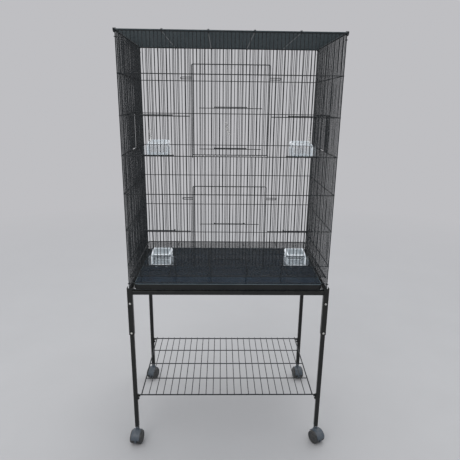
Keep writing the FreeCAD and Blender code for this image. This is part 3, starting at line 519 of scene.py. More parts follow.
# The roof's coat is a lighter, bluer copy of the wire coat: painted sky reflection on the roof's wires seen from
# below.
ROOF_REFLECTION_PAINT = coated_steel(
    "roof coat with painted reflection",
    colour=(0.042, 0.058, 0.064),
    dusty=(0.22, 0.21, 0.19),
    roughness=0.34,
    scale=1100.0,
    amount=0.20,
)
TUBE_PAINT = coated_steel(
    "black tube coat",
    colour=(0.005, 0.006, 0.0055),
    dusty=(0.20, 0.19, 0.16),
    roughness=0.36,
    scale=800.0,
    amount=0.13,
)
ZINC = zinc_plate()
PLUG = moulded("black plug plastic", (0.012, 0.012, 0.013), (0.022, 0.022, 0.023), 0.55, 0.25)
FENDER_PLASTIC = moulded("blue-grey nylon", (0.062, 0.080, 0.100), (0.085, 0.104, 0.125), 0.40, 0.30)
TREAD_PLASTIC = moulded("dark nylon wheel", (0.030, 0.033, 0.036), (0.050, 0.050, 0.048), 0.55, 0.45)
TRAY_PLASTIC = tray_plastic("glossy tray plastic", (0.006, 0.018, 0.034), (0.011, 0.029, 0.048), 0.14)
# The skirt's copy of the tray plastic is darker and duller: painted shade on the tray's front face.
TRAY_SKIRT_SHADE = tray_plastic("dull tray skirt, painted shade", (0.008, 0.009, 0.009), (0.014, 0.015, 0.015), 0.50)
# The rim's copy is lighter and bluer: a painted highlight along the rolled rim.
TRAY_RIM_HIGHLIGHT = tray_plastic("tray rim, painted highlight", (0.10, 0.14, 0.155), (0.16, 0.20, 0.21), 0.25)
CLEAR = clear_plastic()
# Paint of the cups' painted highlights.
CUP_PAINTED_HIGHLIGHT = painted_highlight_edge()


# --- Shapes ---------------------------------------------------------------------------------
def at_height(spot, height):
    """The point above or below a point at a height."""
    return Vector((spot.x, spot.y, height))


def circle(centre, across, beside, radius, sides):
    """Points round a circle."""
    turns = [2 * math.pi * step / sides for step in range(sides)]
    return [centre + across * (radius * math.cos(t)) + beside * (radius * math.sin(t)) for t in turns]


def rounded_ring(centre, across, beside, half_across, half_beside, corner, steps=4):
    """Points round a rectangle with round corners."""
    corner = min(corner, half_across, half_beside)
    ring = []
    for quarter, (side_a, side_b) in enumerate(((1, 1), (-1, 1), (-1, -1), (1, -1))):
        middle = centre + across * (side_a * (half_across - corner))
        middle += beside * (side_b * (half_beside - corner))
        for step in range(steps + 1):
            turn = math.pi / 2 * (quarter + step / steps)
            ring.append(middle + across * (corner * math.cos(turn)) + beside * (corner * math.sin(turn)))
    return ring


def level_ring(spot, height, half_x, half_y, corner, steps=4):
    """A level rectangle with round corners, above or below a point."""
    return rounded_ring(at_height(spot, height), AXES[0], AXES[1], half_x, half_y, corner, steps)


def carried_frames(path):
    """Each point of a path with two directions across it that don't twist."""
    frames = []
    across = None
    for number, spot in enumerate(path):
        before = path[max(number - 1, 0)]
        after = path[min(number + 1, len(path) - 1)]
        along = (after - before).normalized()
        if across is None:
            guide = UP if abs(along.z) < 0.9 else AXES[0]
            across = along.cross(guide)
        across = (across - along * across.dot(along)).normalized()
        frames.append((spot, across, along.cross(across)))
    return frames


def bend(points, radius, steps=6):
    """A path with its corners rounded."""
    path = [points[0]]
    for before, corner, after in zip(points, points[1:], points[2:]):
        back, onward = before - corner, after - corner
        reach = radius / math.tan(back.angle(onward) / 2)
        reach = min(reach, back.length * BEND_SHARE, onward.length * BEND_SHARE)
        first = corner + back.normalized() * reach
        last = corner + onward.normalized() * reach
        for step in range(steps + 1):
            share = step / steps
            path.append(first.lerp(corner, share).lerp(corner.lerp(last, share), share))
    return path + [points[-1]]


def arc(centre, first, second, radius, start, end, steps):
    """Points on an arc that turns from the direction `first` towards `second`, in degrees."""
    turns = [math.radians(start + (end - start) * step / steps) for step in range(steps + 1)]
    return [centre + first * (radius * math.cos(t)) + second * (radius * math.sin(t)) for t in turns]


def union_box(boxes):
    """The lowest and highest corners of several boxes."""
    low = Vector([min(box[0][axis] for box in boxes) for axis in range(3)])
    high = Vector([max(box[1][axis] for box in boxes) for axis in range(3)])
    return low, high


class Shape:
    """Faces gathered for one piece, with a paint number each."""

    def __init__(self):
        self.points = []
        self.faces = []
        self.paints = []

    def skin(self, rings, paint=0, closed=False):
        """Faces over rings with equally many points, capped if not closed. Returns the first one."""
        first_face = len(self.faces)
        start = len(self.points)
        count = len(rings[0])
        rows = len(rings)
        for ring in rings:
            self.points.extend(ring)
        for row in range(rows if closed else rows - 1):
            near = start + row * count
            far = start + (row + 1) % rows * count
            for this in range(count):
                following = (this + 1) % count
                self.faces.append((near + this, near + following, far + following, far + this))
                self.paints.append(paint)
        if not closed:
            last = start + (rows - 1) * count
            self.faces.append(tuple(range(start + count - 1, start - 1, -1)))
            self.faces.append(tuple(range(last, last + count)))
            self.paints += [paint, paint]
        return first_face

    def repaint(self, faces, paint):
        """Gives some faces another paint."""
        for face in faces:
            self.paints[face] = paint

    def tube(self, path, radius, sides=FINE_SIDES):
        """Round wire along a path, with its cut ends slightly rounded."""
        trim = radius * CUT_LENGTH
        near = path[0] + (path[1] - path[0]).normalized() * trim
        far = path[-1] - (path[-1] - path[-2]).normalized() * trim
        stations = [path[0], near] + list(path[1:-1]) + [far, path[-1]]
        sizes = [radius * CUT_END] + [radius] * (len(stations) - 2) + [radius * CUT_END]
        self.skin([circle(*spot, size, sides) for spot, size in zip(carried_frames(stations), sizes)])

    def bead(self, centre, sizes):
        """A small weld bead: a ball squeezed to three half sizes."""
        rings = []
        for tilt in BEAD_TILTS:
            flat, rise = math.cos(math.radians(tilt)), math.sin(math.radians(tilt))
            ring = circle(centre, AXES[0] * sizes[0], AXES[1] * sizes[1], flat, BEAD_SIDES)
            rings.append([spot + UP * (rise * sizes[2]) for spot in ring])
        self.skin(rings)

    def lathe(self, centre, axis, profile, sides=32):
        """A turned form: the profile holds distance along the axis and radius."""
        across = axis.orthogonal().normalized()
        beside = axis.cross(across)
        rings = []
        for along, radius in profile:
            rings.append(circle(centre + axis * along, across, beside, radius, sides))
        self.skin(rings)

    def block(self, low, high, edge, paint=0, steps=3):
        """A block with rounded edges."""
        middle = (low + high) / 2
        half = (high - low) / 2
        edge = min(edge, *half)
        turns = [math.pi / 2 * step / steps for step in range(steps + 1)]
        levels = [(low.z + edge * (1 - math.cos(turn)), edge * (1 - math.sin(turn))) for turn in turns]
        levels += [(low.z + high.z - height, inset) for height, inset in reversed(levels)]
        corner = edge * BLOCK_CORNER
        rings = []
        for height, inset in levels:
            rings.append(level_ring(middle, height, half.x - inset, half.y - inset, corner, steps))
        self.skin(rings, paint)

    def prism(self, outline, along):
        """An outline run along a direction. Returns the first side face."""
        return self.skin([outline, [spot + along for spot in outline]])

    def square_tube(self, start, end, size, wall):
        """A square tube with rounded corners, open at both ends."""
        along = (end - start).normalized()
        across = AXES[0] if abs(along.x) < 0.5 else AXES[1]
        beside = along.cross(across)
        rings = []
        for spot, half, corner in (
            (start, size / 2 - TUBE_EDGE, TUBE_CORNER),
            (start + along * TUBE_EDGE, size / 2, TUBE_CORNER),
            (end - along * TUBE_EDGE, size / 2, TUBE_CORNER),
            (end, size / 2 - TUBE_EDGE, TUBE_CORNER),
            (end, size / 2 - wall, TUBE_CORNER - wall / 2),
            (start, size / 2 - wall, TUBE_CORNER - wall / 2),
        ):
            rings.append(rounded_ring(spot, across, beside, half, half, corner))
        self.skin(rings, closed=True)


def finish_piece(name, shape, paints, slot, *nodes, sharp=38.0):
    """Makes the object, which stands for these nodes and moves with their body."""
    mesh = bpy.data.meshes.new(name)
    mesh.from_pydata(shape.points, [], shape.faces)
    mesh.polygons.foreach_set("material_index", shape.paints)
    for paint in paints:
        mesh.materials.append(paint)
    work = bmesh.new()
    work.from_mesh(mesh)
    bmesh.ops.recalc_face_normals(work, faces=work.faces)
    work.to_mesh(mesh)
    work.free()
    mesh.shade_smooth()
    mesh.set_sharp_from_angle(angle=math.radians(sharp))
    piece = bpy.data.objects.new(name, mesh)
    scene.collection.objects.link(piece)
    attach(piece, BODY[nodes[0]])
    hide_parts(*nodes)


def finish_wires(name, shape, node, paint=WIRE_PAINT):
    """Makes the object of a piece of coated wire."""
    finish_piece(name, shape, [paint], "black_wire", node)


# --- Straight wires of the frame ------------------------------------------------------------
Wire = namedtuple("Wire", "low high axis middle radius")


def solids_of(node):
    """The lowest and highest corners of each separate solid in a node."""
    work = bmesh.new()
    work.from_mesh(frame["nodes"][node].data)
    bmesh.ops.remove_doubles(work, verts=work.verts, dist=1e-6)
    seen = set()
    boxes = []
    for seed in work.faces:
        if seed in seen:
            continue
        seen.add(seed)
        queue = [seed]
        spots = []
        faces = 0
        while queue:
            face = queue.pop()
            faces += 1
            spots += [vert.co.copy() for vert in face.verts]
            for edge in face.edges:
                if len(edge.link_faces) != 2:
                    continue
                for neighbour in edge.link_faces:
                    if neighbour not in seen:
                        seen.add(neighbour)
                        queue.append(neighbour)
        if faces >= PRISM_FACES:
            boxes.append(union_box([(spot, spot) for spot in spots]))
    work.free()
    return boxes


def as_wire(low, high):
    """A solid's box as a wire along its longest side."""
    size = high - low
    axis = max(range(3), key=lambda number: size[number])
    radius = min(size[number] for number in range(3) if number != axis) / 2
    return Wire(low, high, axis, (low + high) / 2, radius)


def ends(wire):
    """Both ends of a wire's middle line."""
    start, end = wire.middle.copy(), wire.middle.copy()
    start[wire.axis], end[wire.axis] = wire.low[wire.axis], wire.high[wire.axis]
    return start, end


def moved(wire, step):
    """The same wire in another place."""
    return wire._replace(low=wire.low + step, high=wire.high + step, middle=wire.middle + step)


def crossings(wires):
    """Pairs of wires that touch side by side, with the point between them."""
    for number, first in enumerate(wires):
        for other in range(number + 1, len(wires)):
            second = wires[other]
            if first.axis == second.axis:
                continue
            normal = 3 - first.axis - second.axis
            between = second.middle[normal] - first.middle[normal]
            if abs(abs(between) - first.radius - second.radius) > TOUCH:
                continue
            spot = Vector()
            spot[first.axis] = second.middle[first.axis]
            spot[second.axis] = first.middle[second.axis]
            share = first.radius / (first.radius + second.radius)
            spot[normal] = first.middle[normal] + between * share
            if any(
                not wire.low[wire.axis] - TOUCH < spot[wire.axis] < wire.high[wire.axis] + TOUCH
                for wire in (first, second)
            ):
                continue
            yield number, other, spot, normal


def bowed_path(wire, marks, bow, normal):
    """A wire's middle line, slightly bowed between its welds, mostly in the plane of its grid."""
    start, end = ends(wire)
    if not bow:
        return [start, end]
    stops = [start[wire.axis]]
    for mark in sorted(marks) + [end[wire.axis]]:
        if mark - stops[-1] > LEAST_STRETCH * wire.radius:
            stops.append(mark)
    stops[-1] = end[wire.axis]
    aside = next(number for number in range(3) if number not in (wire.axis, normal))
    path = [start]
    for near, far in zip(stops, stops[1:]):
        span = far - near
        steps = max(1, round(span / BOW_STEP)) if span > LONG_SPAN else 1
        swing = chance.uniform(-bow, bow)
        lean = chance.uniform(-bow, bow) * BOW_LEAN
        for step in range(1, steps + 1):
            rise = math.sin(math.pi * step / steps)
            spot = wire.middle.copy()
            spot[wire.axis] = near + span * step / steps
            spot[aside] += swing * rise
            spot[normal] += lean * rise
            path.append(spot)
    return path


def add_grid(shape, wires, bow=0.0, butted=False):
    """Round wires with a weld bead wherever two of them touch."""
    spread = [max(w.high[n] for w in wires) - min(w.low[n] for w in wires) for n in range(3)]
    thin = spread.index(min(spread))
    marks = [[] for _ in wires]
    for first, second, spot, normal in crossings(wires):
        thinner = min(wires[first].radius, wires[second].radius)
        sizes = [thinner * chance.uniform(*WELD_SIZE) for _ in range(3)]
        sizes[normal] = thinner * WELD_RISE
        shape.bead(spot, sizes)
        marks[first].append(spot[wires[first].axis])
        marks[second].append(spot[wires[second].axis])
    for wire, places in zip(wires, marks):
        fine = wire.radius < FINE_LIMIT
        path = bowed_path(wire, places, bow if fine else 0.0, thin)
        shape.tube(path, wire.radius + COAT, sides=FINE_SIDES if fine else STOUT_SIDES)
        if not butted:
            continue
        for end in (path[0], path[-1]):
            if all(abs(end[wire.axis] - place) > 2 * wire.radius for place in places):
                shape.bead(end, [wire.radius * chance.uniform(*BUTT_SIZE)] * 3)


def opening_edges(wires):
    """A second upright just inside each edge of the door opening in the middle of a side."""
    uprights = [wire for wire in wires if wire.axis == 2]
    full = max(wire.high.z - wire.low.z for wire in uprights) - TOUCH
    whole = [wire for wire in uprights if wire.high.z - wire.low.z > full]
    cut = [wire for wire in uprights if wire not in whole]
    foot = min(wire.high.z for wire in cut)
    head = max(wire.low.z for wire in cut)
    edges = []
    for guide in sorted(whole, key=lambda wire: abs(wire.middle.y))[:2]:
        edge = moved(guide, Vector((0, -math.copysign(EDGE_WIRE_STEP, guide.middle.y), 0)))
        edges.append(as_wire(at_height(edge.low, foot), at_height(edge.high, head)))
    return edges


def outer_uprights(uprights, across):
    """One more upright outside each end of a row of them, at the row's own spacing."""
    row = sorted(uprights, key=lambda wire: wire.middle[across])
    pairs = ((row[0], row[1]), (row[-1], row[-2]))
    return [moved(last, at_height(last.middle - next_in.middle, 0)) for last, next_in in pairs]


def wire_grid(node, bow=0.0, paint=WIRE_PAINT, opening=False):
    """A node of straight wires."""
    shape = Shape()
    wires = [as_wire(*box) for box in solids_of(node)]
    if opening:
        wires += opening_edges(wires)
    add_grid(shape, wires, bow)
    finish_wires(node + "_wires", shape, node, paint)


# --- Cage -----------------------------------------------------------------------------------
def clip_rings():
    """Open wire rings round the corner wires."""
    shape = Shape()
    for low, high in solids_of("panel_clips"):
        wire = FINE_WIRE / 2
        radius = (high.y - low.y) / 2 - wire
        side = 1 if low.x > 0 else -1
        centre = (low + high) / 2
        centre.x = (high.x if side > 0 else low.x) - side * (radius + wire)
        inward = AXES[1] * (-1 if centre.y > 0 else 1)
        start, end = CLIP_GAPE / 2, 360 - CLIP_GAPE / 2
        shape.tube(arc(centre, AXES[0] * -side, inward, radius, start, end, steps=22), wire)
    finish_wires("panel_clip_rings", shape, "panel_clips")


def wound_tie(shape, centre, along, turns):
    """Wire wound round a top edge, along the direction given."""
    steps = 14
    path = []
    for number in range(round(turns * steps) + 1):
        turn = number / steps
        angle = 2 * math.pi * turn
        swing = AXES[1] * math.cos(angle) + UP * math.sin(angle)
        path.append(centre + swing * TIE_RADIUS + along * (TIE_PITCH * turn))
    shape.tube(path, CROSS_WIRE / 2, sides=SPRING_SIDES)


def roof_ties():
    """Wire that ties the roof to the panels, twice round at each top corner, once at each brace."""
    low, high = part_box("top_panel")
    shape = Shape()
    places = []
    for end in (low, high):
        side = math.copysign(1, end.x)
        places.append((end.x + side * TIE_REACH, AXES[0] * -side, CORNER_TURNS))
    for solid in solids_of("top_panel"):
        brace = as_wire(*solid)
        if brace.axis == 1 and low.x < brace.low.x - TOUCH and brace.high.x + TOUCH < high.x:
            places.append((brace.middle.x - TIE_PITCH / 2, AXES[0], BRACE_TURNS))
    for edge in (low.y + TIE_INSET, high.y - TIE_INSET):
        for place, along, turns in places:
            wound_tie(shape, Vector((place, edge, high.z - TIE_DROP)), along, turns)
    finish_wires("roof_ties", shape, "panel_clips")


def drop_door_frame(row, half):
    """A drop-down door's frame: one wire that curls round the hinge wire at both ends."""
    node = f"{row}_door_frame"
    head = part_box(node)[1].z - CROSS_WIRE / 2 * FLAT_REACH
    hinge = Vector(JOINT[f"{row}_door_hinge"]["pos_m"])
    curl = CROSS_WIRE + RUNNING_GAP
    path = []
    for side in (-1, 1):
        centre = Vector((side * half, hinge.y, hinge.z))
        turn = arc(centre, FRONT, UP, curl, -CURL_TURN, 0, steps=18)
        corner = Vector((side * half, hinge.y - curl, head))
        path += turn + [corner] if side < 0 else [corner] + turn[::-1]
    foot = len(turn)
    path = path[: foot - 1] + bend(path[foot - 1 : foot + 3], DOOR_BEND) + path[foot + 3 :]
    shape = Shape()
    shape.tube(path, CROSS_WIRE / 2 + COAT, sides=STOUT_SIDES)
    finish_wires(f"{row}_door_bent_frame", shape, node)


def drop_door(row):
    """A drop-down door: its bent frame, and the grid with two ears that the frame carries."""
    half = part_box(f"{row}_door_frame")[1].x - CROSS_WIRE / 2 * FLAT_REACH
    drop_door_frame(row, half)
    shape = Shape()
    grid = []
    ears = {-1: [], 1: []}
    for low, high in solids_of(f"{row}_door"):
        middle = (low.x + high.x) / 2
        if abs(middle) > half:
            ears[1 if middle > 0 else -1].append((low, high))
        else:
            grid.append(as_wire(low, high))
    grid += outer_uprights([wire for wire in grid if wire.axis == 2], 0)
    add_grid(shape, grid, DOOR_BOW, butted=True)
    wire = FINE_WIRE / 2
    for side, runs in ears.items():
        low, high = union_box(runs)
        root = side * (half + CROSS_WIRE / 2)
        tip = (high.x if side > 0 else low.x) - side * wire
        layer = (low.y + high.y) / 2
        head, foot = high.z - wire, low.z + wire
        places = ((root, head), (tip, head), (tip, foot), (root, foot))
        ear = [Vector((x, layer, z)) for x, z in places]
        shape.tube(bend(ear, EAR_BEND), wire + COAT)
        for spot in (ear[0], ear[-1]):
            shape.bead(spot, [wire * EAR_WELD] * 3)
    finish_wires(f"{row}_door_grid_and_ears", shape, f"{row}_door")


def lift_door(node, out, sign):
    """A lift-up door: wires on two bars with hooked ends. It faces the way of `sign` on axis `out`."""
    side = 1 - out
    shape = Shape()
    uprights = []
    bars = {}
    for solid in solids_of(node):
        wire = as_wire(*solid)
        if wire.axis == 2:
            uprights.append(wire)
        else:
            bars.setdefault(round(wire.middle.z, 3), []).append(solid)
    if out == 0:
        uprights += outer_uprights(uprights, side)
    add_grid(shape, uprights, DOOR_BOW)
    radius = CROSS_WIRE / 2
    for runs in bars.values():
        low, high = union_box(runs)
        bar, hook = (high[out] - radius, low[out] + radius)[::sign]
        left, right = low[side] + radius, high[side] - radius
        height = (low.z + high.z) / 2
        places = [(left + HOOK_LENGTH, hook), (left, hook), (left, bar)]
        places += [(right, bar), (right, hook), (right - HOOK_LENGTH, hook)]
        path = []
        for along, layer in places:
            spot = Vector((along, layer, height))
            path.append(spot if side == 0 else spot.yxz)
        shape.tube(bend(path, HOOK_BEND), radius + COAT, sides=STOUT_SIDES)
        for wire in uprights:
            spot = at_height(wire.middle, height)
            spot[out] = (wire.middle[out] + bar) / 2
            shape.bead(spot, [FINE_WIRE * chance.uniform(*BAR_WELD)] * 3)
    finish_wires(node + "_wires", shape, node)


def spring_hook(place, door, outward, beside, lean=0.0):
    """A bright coil spring that snaps on one wire of its door, with an open hook on top."""
    node = "spring_hook_" + place
    low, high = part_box(node)
    inside = []
    for solid in solids_of(door):
        wire = as_wire(*solid)
        near = all(low[n] < wire.middle[n] < high[n] for n in range(2) if abs(beside[n]) > 0.5)
        if wire.axis == 2 and near:
            inside.append(wire.middle)
    wire = SPRING_WIRE / 2
    centre = at_height(max(inside, key=lambda middle: middle.dot(beside)), low.z + wire)
    grip = FINE_WIRE / 2 * FLAT_REACH + COAT + wire
    shape = Shape()
    clasp = arc(centre, outward, beside, grip, -SPRING_GRIP, SPRING_GRIP, steps=16)
    shape.tube(clasp, wire, sides=SPRING_SIDES)
    radius = SPRING_COIL / 2 - wire
    middle = centre + outward * (FINE_WIRE / 2 + RUNNING_GAP + SPRING_COIL / 2) - beside * radius
    rise = UP + beside * lean
    path = [centre + outward * (grip + wire / 2)]
    steps = 18
    for number in range(SPRING_TURNS * steps + 1):
        turn = number / steps
        angle = 2 * math.pi * turn
        swing = beside * (radius * math.cos(angle)) + outward * (radius * math.sin(angle))
        path.append(middle + swing + rise * (SPRING_PITCH * turn))
    hook = path[-1] - beside * radius + rise * (SPRING_HOOK / 2)
    path += arc(hook, beside, UP, radius, 0, 180, steps=12)
    shape.tube(path, wire, sides=SPRING_SIDES)
    finish_piece(node + "_coil", shape, [ZINC], "zinc", node)


# --- Cups and tray --------------------------------------------------------------------------
def cup_bowl(shape, spot):
    """Thin walls, with a painted highlight on the rim and on the corners in front."""
    centre = spot(0, (CUP_DEPTH + CUP_WALL) / 2, 0)
    rings = []
    for height, inset in BOWL_PROFILE:
        across, beside = CUP_WIDTH / 2 - inset, (CUP_DEPTH - CUP_WALL) / 2 - inset
        corner = max(CUP_CORNER - inset, LEAST_CORNER)
        rings.append(level_ring(centre, centre.z + height, across, beside, corner))
    count = len(rings[0])
    wall = shape.skin(rings) + 2 * count
    rim = wall + count
    # The front half of the ring, without the flats between its round corners
    corners = [wall + face for face in range(count // 2, count) if (face + 1) % (count // 4)]
    shape.repaint(corners, PAINTED_HIGHLIGHT)
    shape.repaint(range(rim, rim + count), PAINTED_HIGHLIGHT)


def cup_hood(shape, spot):
    """An arch that slants up to the back, with a painted highlight at its front, its back and its round edges."""

    def arch(inset, corner):
        """Points from the left foot over the hood to the right foot."""
        side, head = CUP_WIDTH / 2 - inset, HOOD_HEIGHT - inset
        left = arc(spot(corner - side, 0, head - corner), -AXES[0], UP, corner, 0, 90, HOOD_STEPS)
        right = arc(spot(side - corner, 0, head - corner), UP, AXES[0], corner, 0, 90, HOOD_STEPS)
        return [spot(-side, 0, BOWL_HEIGHT)] + left + right + [spot(side, 0, BOWL_HEIGHT)]

    band = arch(0, HOOD_CORNER) + arch(CUP_WALL, HOOD_CORNER_INSIDE)[::-1]
    slant = Vector((0, 1, HOOD_RISE / HOOD_DEPTH))
    reaches = (CUP_WALL, CUP_WALL + CUP_STRIP, HOOD_DEPTH - HOOD_RIM, HOOD_DEPTH)
    strip = shape.skin([[place + slant * back for place in band] for back in reaches])
    top = strip + len(band)
    rim = top + len(band)
    # Both round corners of the outside, without the flat between them
    corners = [top + face for face in range(1, 2 + 2 * HOOD_STEPS) if face != 1 + HOOD_STEPS]
    shape.repaint(range(strip, top), PAINTED_HIGHLIGHT)
    shape.repaint(corners, PAINTED_HIGHLIGHT)
    shape.repaint(range(rim, rim + len(band)), PAINTED_HIGHLIGHT)


def cup_front(shape, spot, wing):
    """The winged front, with a painted highlight on its edge all round."""
    side = wing - FLANGE_CORNER
    head = CUP_WIDTH / 2 - HEAD_INSET
    outline = []
    for across, height, first, second, corner in (
        (-side, FLANGE_HEIGHT - FLANGE_CORNER, -AXES[0], UP, FLANGE_CORNER),
        (-head, HOOD_HEIGHT - HEAD_CORNER, -AXES[0], UP, HEAD_CORNER),
        (head, HOOD_HEIGHT - HEAD_CORNER, UP, AXES[0], HEAD_CORNER),
        (side, FLANGE_HEIGHT - FLANGE_CORNER, UP, AXES[0], FLANGE_CORNER),
        (side, FLANGE_CORNER, AXES[0], -UP, FLANGE_CORNER),
        (-side, FLANGE_CORNER, -UP, -AXES[0], FLANGE_CORNER),
    ):
        outline += arc(spot(across, 0, height), first, second, corner, 0, 90, steps=4)
    edge = shape.prism(outline, AXES[1] * (CUP_WALL - FLANGE_GAP))
    shape.repaint(range(edge, edge + len(outline)), PAINTED_HIGHLIGHT)


def cup_ribs(shape, spot):
    """Ribs where two walls meet, coloured with the painted highlight."""
    half = CUP_WIDTH / 2
    inside = half - HOOD_CORNER
    deep = CUP_RIB / 4
    for left, right in ((-half, CUP_RIB - half), (half - CUP_RIB, half)):
        rib_head = spot(right, deep, HOOD_HEIGHT - HOOD_CORNER)
        shape.block(spot(left, -deep, RIB_FOOT), rib_head, RIB_EDGE, PAINTED_HIGHLIGHT)
    hood_back, hood_head = HOOD_DEPTH - BACK_RIB[0], HOOD_HEIGHT + HOOD_RISE - BACK_RIB[1]
    for back, height in ((0, HOOD_HEIGHT - CUP_RIB), (0, 0), (hood_back, hood_head)):
        low_end = spot(-inside, back - deep, height)
        high_end = spot(inside, back + deep, height + CUP_RIB * LEVEL_RIB)
        shape.block(low_end, high_end, RIB_EDGE, PAINTED_HIGHLIGHT)
    sill_in, sill_foot, sill_head = SILL_RIB
    low_end = spot(-inside, CUP_DEPTH - sill_in, sill_foot)
    shape.block(low_end, spot(inside, CUP_DEPTH - CUP_WALL, sill_head), RIB_EDGE, PAINTED_HIGHLIGHT)


def cup_lugs(shape, spot):
    """Two lugs in front, with lips that hook over the panel's wires."""
    foot = -LUG_DROP - LUG_LIP
    for middle in (-LUG_PLACE, LUG_PLACE):
        left, right = middle - LUG_WIDTH / 2, middle + LUG_WIDTH / 2
        for lip in (0, foot):
            shape.block(spot(left, -LUG_REACH, lip), spot(right, 0, lip + LUG_LIP), LUG_EDGE)
        shape.block(spot(left, -FINE_WIRE, foot), spot(right, 0, LUG_LIP), LUG_EDGE)


def cup(node):
    """A clear cup with a slanting hood: thin walls, rims with a painted highlight, a winged front and two lugs."""
    low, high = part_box(node)
    middle_x = (low.x + high.x) / 2
    front = high.y - CUP_DEPTH
    foot = high.z - HOOD_HEIGHT - HOOD_RISE

    def spot(across, back, height):
        """A point measured from the middle of the front's lower edge."""
        return Vector((middle_x + across, front + back, foot + height))

    shape = Shape()
    cup_bowl(shape, spot)
    cup_hood(shape, spot)
    cup_front(shape, spot, (high.x - low.x) / 2)
    cup_ribs(shape, spot)
    cup_lugs(shape, spot)
    finish_piece(node + "_clear", shape, [CLEAR, CUP_PAINTED_HIGHLIGHT], "clear_plastic", node, sharp=50.0)


def tray():
    """A moulded tray: skirt, rolled rim and a wide margin that slopes down to the floor."""
    low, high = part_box("tray")
    half = (high - low) / 2
    foot, rim, wall = low.z, high.z, TRAY_WALL
    fall = rim - foot - wall - TRAY_LIP
    floor_inset = wall + TRAY_SLOPE
    stations = [(foot, floor_inset), (rim - 2 * wall, wall + TRAY_LIP), (foot, wall), (foot, 0.0)]
    stations += [(rim - drop, inset) for drop, inset in TRAY_RIM_ROLL]
    for across, down in TRAY_MARGIN:
        stations.append((rim - TRAY_LIP - fall * down, wall + TRAY_SLOPE * across))
    stations.append((foot + wall, floor_inset + TRAY_FILLET))
    middle = (low + high) / 2
    rings = []
    for height, inset in stations:
        corner = max(TRAY_CORNER - inset, TRAY_LEAST_CORNER)
        rings.append(level_ring(middle, height, half.x - inset, half.y - inset, corner, steps=6))
    shape = Shape()
    count = len(rings[0])
    skirt = shape.skin(rings) + 3 * count
    roll = skirt + count
    # The skirt takes the darker copy, a painted shade; the rolled rim the lighter copy, a painted highlight.
    paints = [TRAY_PLASTIC, TRAY_SKIRT_SHADE, TRAY_RIM_HIGHLIGHT]
    shape.repaint(range(skirt, roll), paints.index(TRAY_SKIRT_SHADE))
    shape.repaint(range(roll, roll + 3 * count), paints.index(TRAY_RIM_HIGHLIGHT))
    finish_piece("tray_moulding", shape, paints, "tray_plastic", "tray", sharp=50.0)


# --- Stand ----------------------------------------------------------------------------------
def sleeve(corner):
    """A square tube sleeve with a closed top and an L of two upstands."""
    node = "sleeve_" + corner
    low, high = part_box(node)
    middle = (low + high) / 2
    half = (high.x - low.x) / 2
    inner = half - SLEEVE_WALL
    top = high.z - GUARD_HEIGHT
    head = at_height(middle, top - SEAM)
    shape = Shape()
    shape.square_tube(at_height(middle, low.z), head, 2 * half, SLEEVE_WALL)
    lid = Vector((1, 1, 0)) * (half - SLEEVE_WALL * LID_INSET)
    shape.block(head - lid - UP * SLEEVE_WALL, head + lid + UP * SEAM, TUBE_EDGE)
    side_x = AXES[0] * math.copysign(1, middle.x)
    side_y = AXES[1] * math.copysign(1, middle.y)
    root = at_height(middle, top - 2 * SEAM)
    turn_at = root + (side_x + side_y) * (half - TUBE_CORNER)
    outline = [root + (side_y - side_x) * half]
    outline += arc(turn_at, side_y, side_x, TUBE_CORNER, 0, 90, steps=5)
    outline += [root + (side_x - side_y) * half, root + side_x * inner - side_y * half]
    outline += [root + (side_x + side_y) * inner, root + side_y * inner - side_x * half]
    shape.prism(outline, UP * (GUARD_HEIGHT + 2 * SEAM))
    finish_piece(node + "_tube", shape, [TUBE_PAINT], "black_tube", node)


def leg(corner):
    """A square tube leg."""
    node = "leg_" + corner
    low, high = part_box(node)
    middle = (low + high) / 2
    shape = Shape()
    shape.square_tube(at_height(middle, low.z), at_height(middle, high.z), high.x - low.x, LEG_WALL)
    finish_piece(node + "_tube", shape, [TUBE_PAINT], "black_tube", node)


def rails():
    """The four rails, with a weld line round each end."""
    shape = Shape()
    for solid in solids_of("stand_rails"):
        rail = as_wire(*solid)
        start, end = ends(rail)
        shape.square_tube(start, end, 2 * rail.radius, LEG_WALL)
        along = (end - start).normalized()
        beside = along.cross(UP)
        for place in (start + along * WELD_INSET, end - along * WELD_INSET):
            seam = rounded_ring(place, beside, UP, rail.radius, rail.radius, TUBE_CORNER, steps=5)
            for spot in seam:
                spot.z += chance.uniform(-WELD_WANDER, WELD_WANDER)
            shape.tube(seam + seam[:1], WELD_RADIUS, sides=6)
    finish_piece("welded_rails", shape, [TUBE_PAINT], "black_tube", "stand_rails")


def star(centre, reach, waist):
    """Points round an upright cross, as many as round a bolt's head."""
    ring = []
    for step in range(BOLT_SIDES):
        turn = 2 * math.pi * step / BOLT_SIDES
        short, long = sorted((abs(math.cos(turn)), abs(math.sin(turn))))
        radius = reach / long if short / long < RECESS_SPREAD * waist / reach else waist / short
        ring.append(centre + AXES[0] * (radius * math.cos(turn)) + UP * (radius * math.sin(turn)))
    return ring


def bolts():
    """Pan-head bolts with a cross recess."""
    shape = Shape()
    for low, high in solids_of("leg_bolts"):
        seat = (low + high) / 2
        seat.y = high.y
        length = high.y - low.y
        if high.x - low.x < BOLT_LIMIT:
            radius = (high.x - low.x) / 2 * SHANK_SHARE
            profile = [(0.0, radius * CUT_END), (SHANK_TIP, radius), (length, radius)]
            shape.lathe(seat, FRONT, profile, sides=16)
            continue
        rings = []
        for rise, wide in BOLT_PROFILE:
            centre = seat + FRONT * (length * rise)
            rings.append(circle(centre, AXES[0], UP, BOLT_HEAD / 2 * wide, BOLT_SIDES))
        for depth, reach, waist in RECESS_LEVELS:
            centre = seat + FRONT * (length - depth)
            rings.append(star(centre, RECESS_REACH * reach, RECESS_WAIST * waist))
        shape.skin(rings)
    finish_piece("pan_head_bolts", shape, [ZINC], "zinc", "leg_bolts", sharp=30.0)


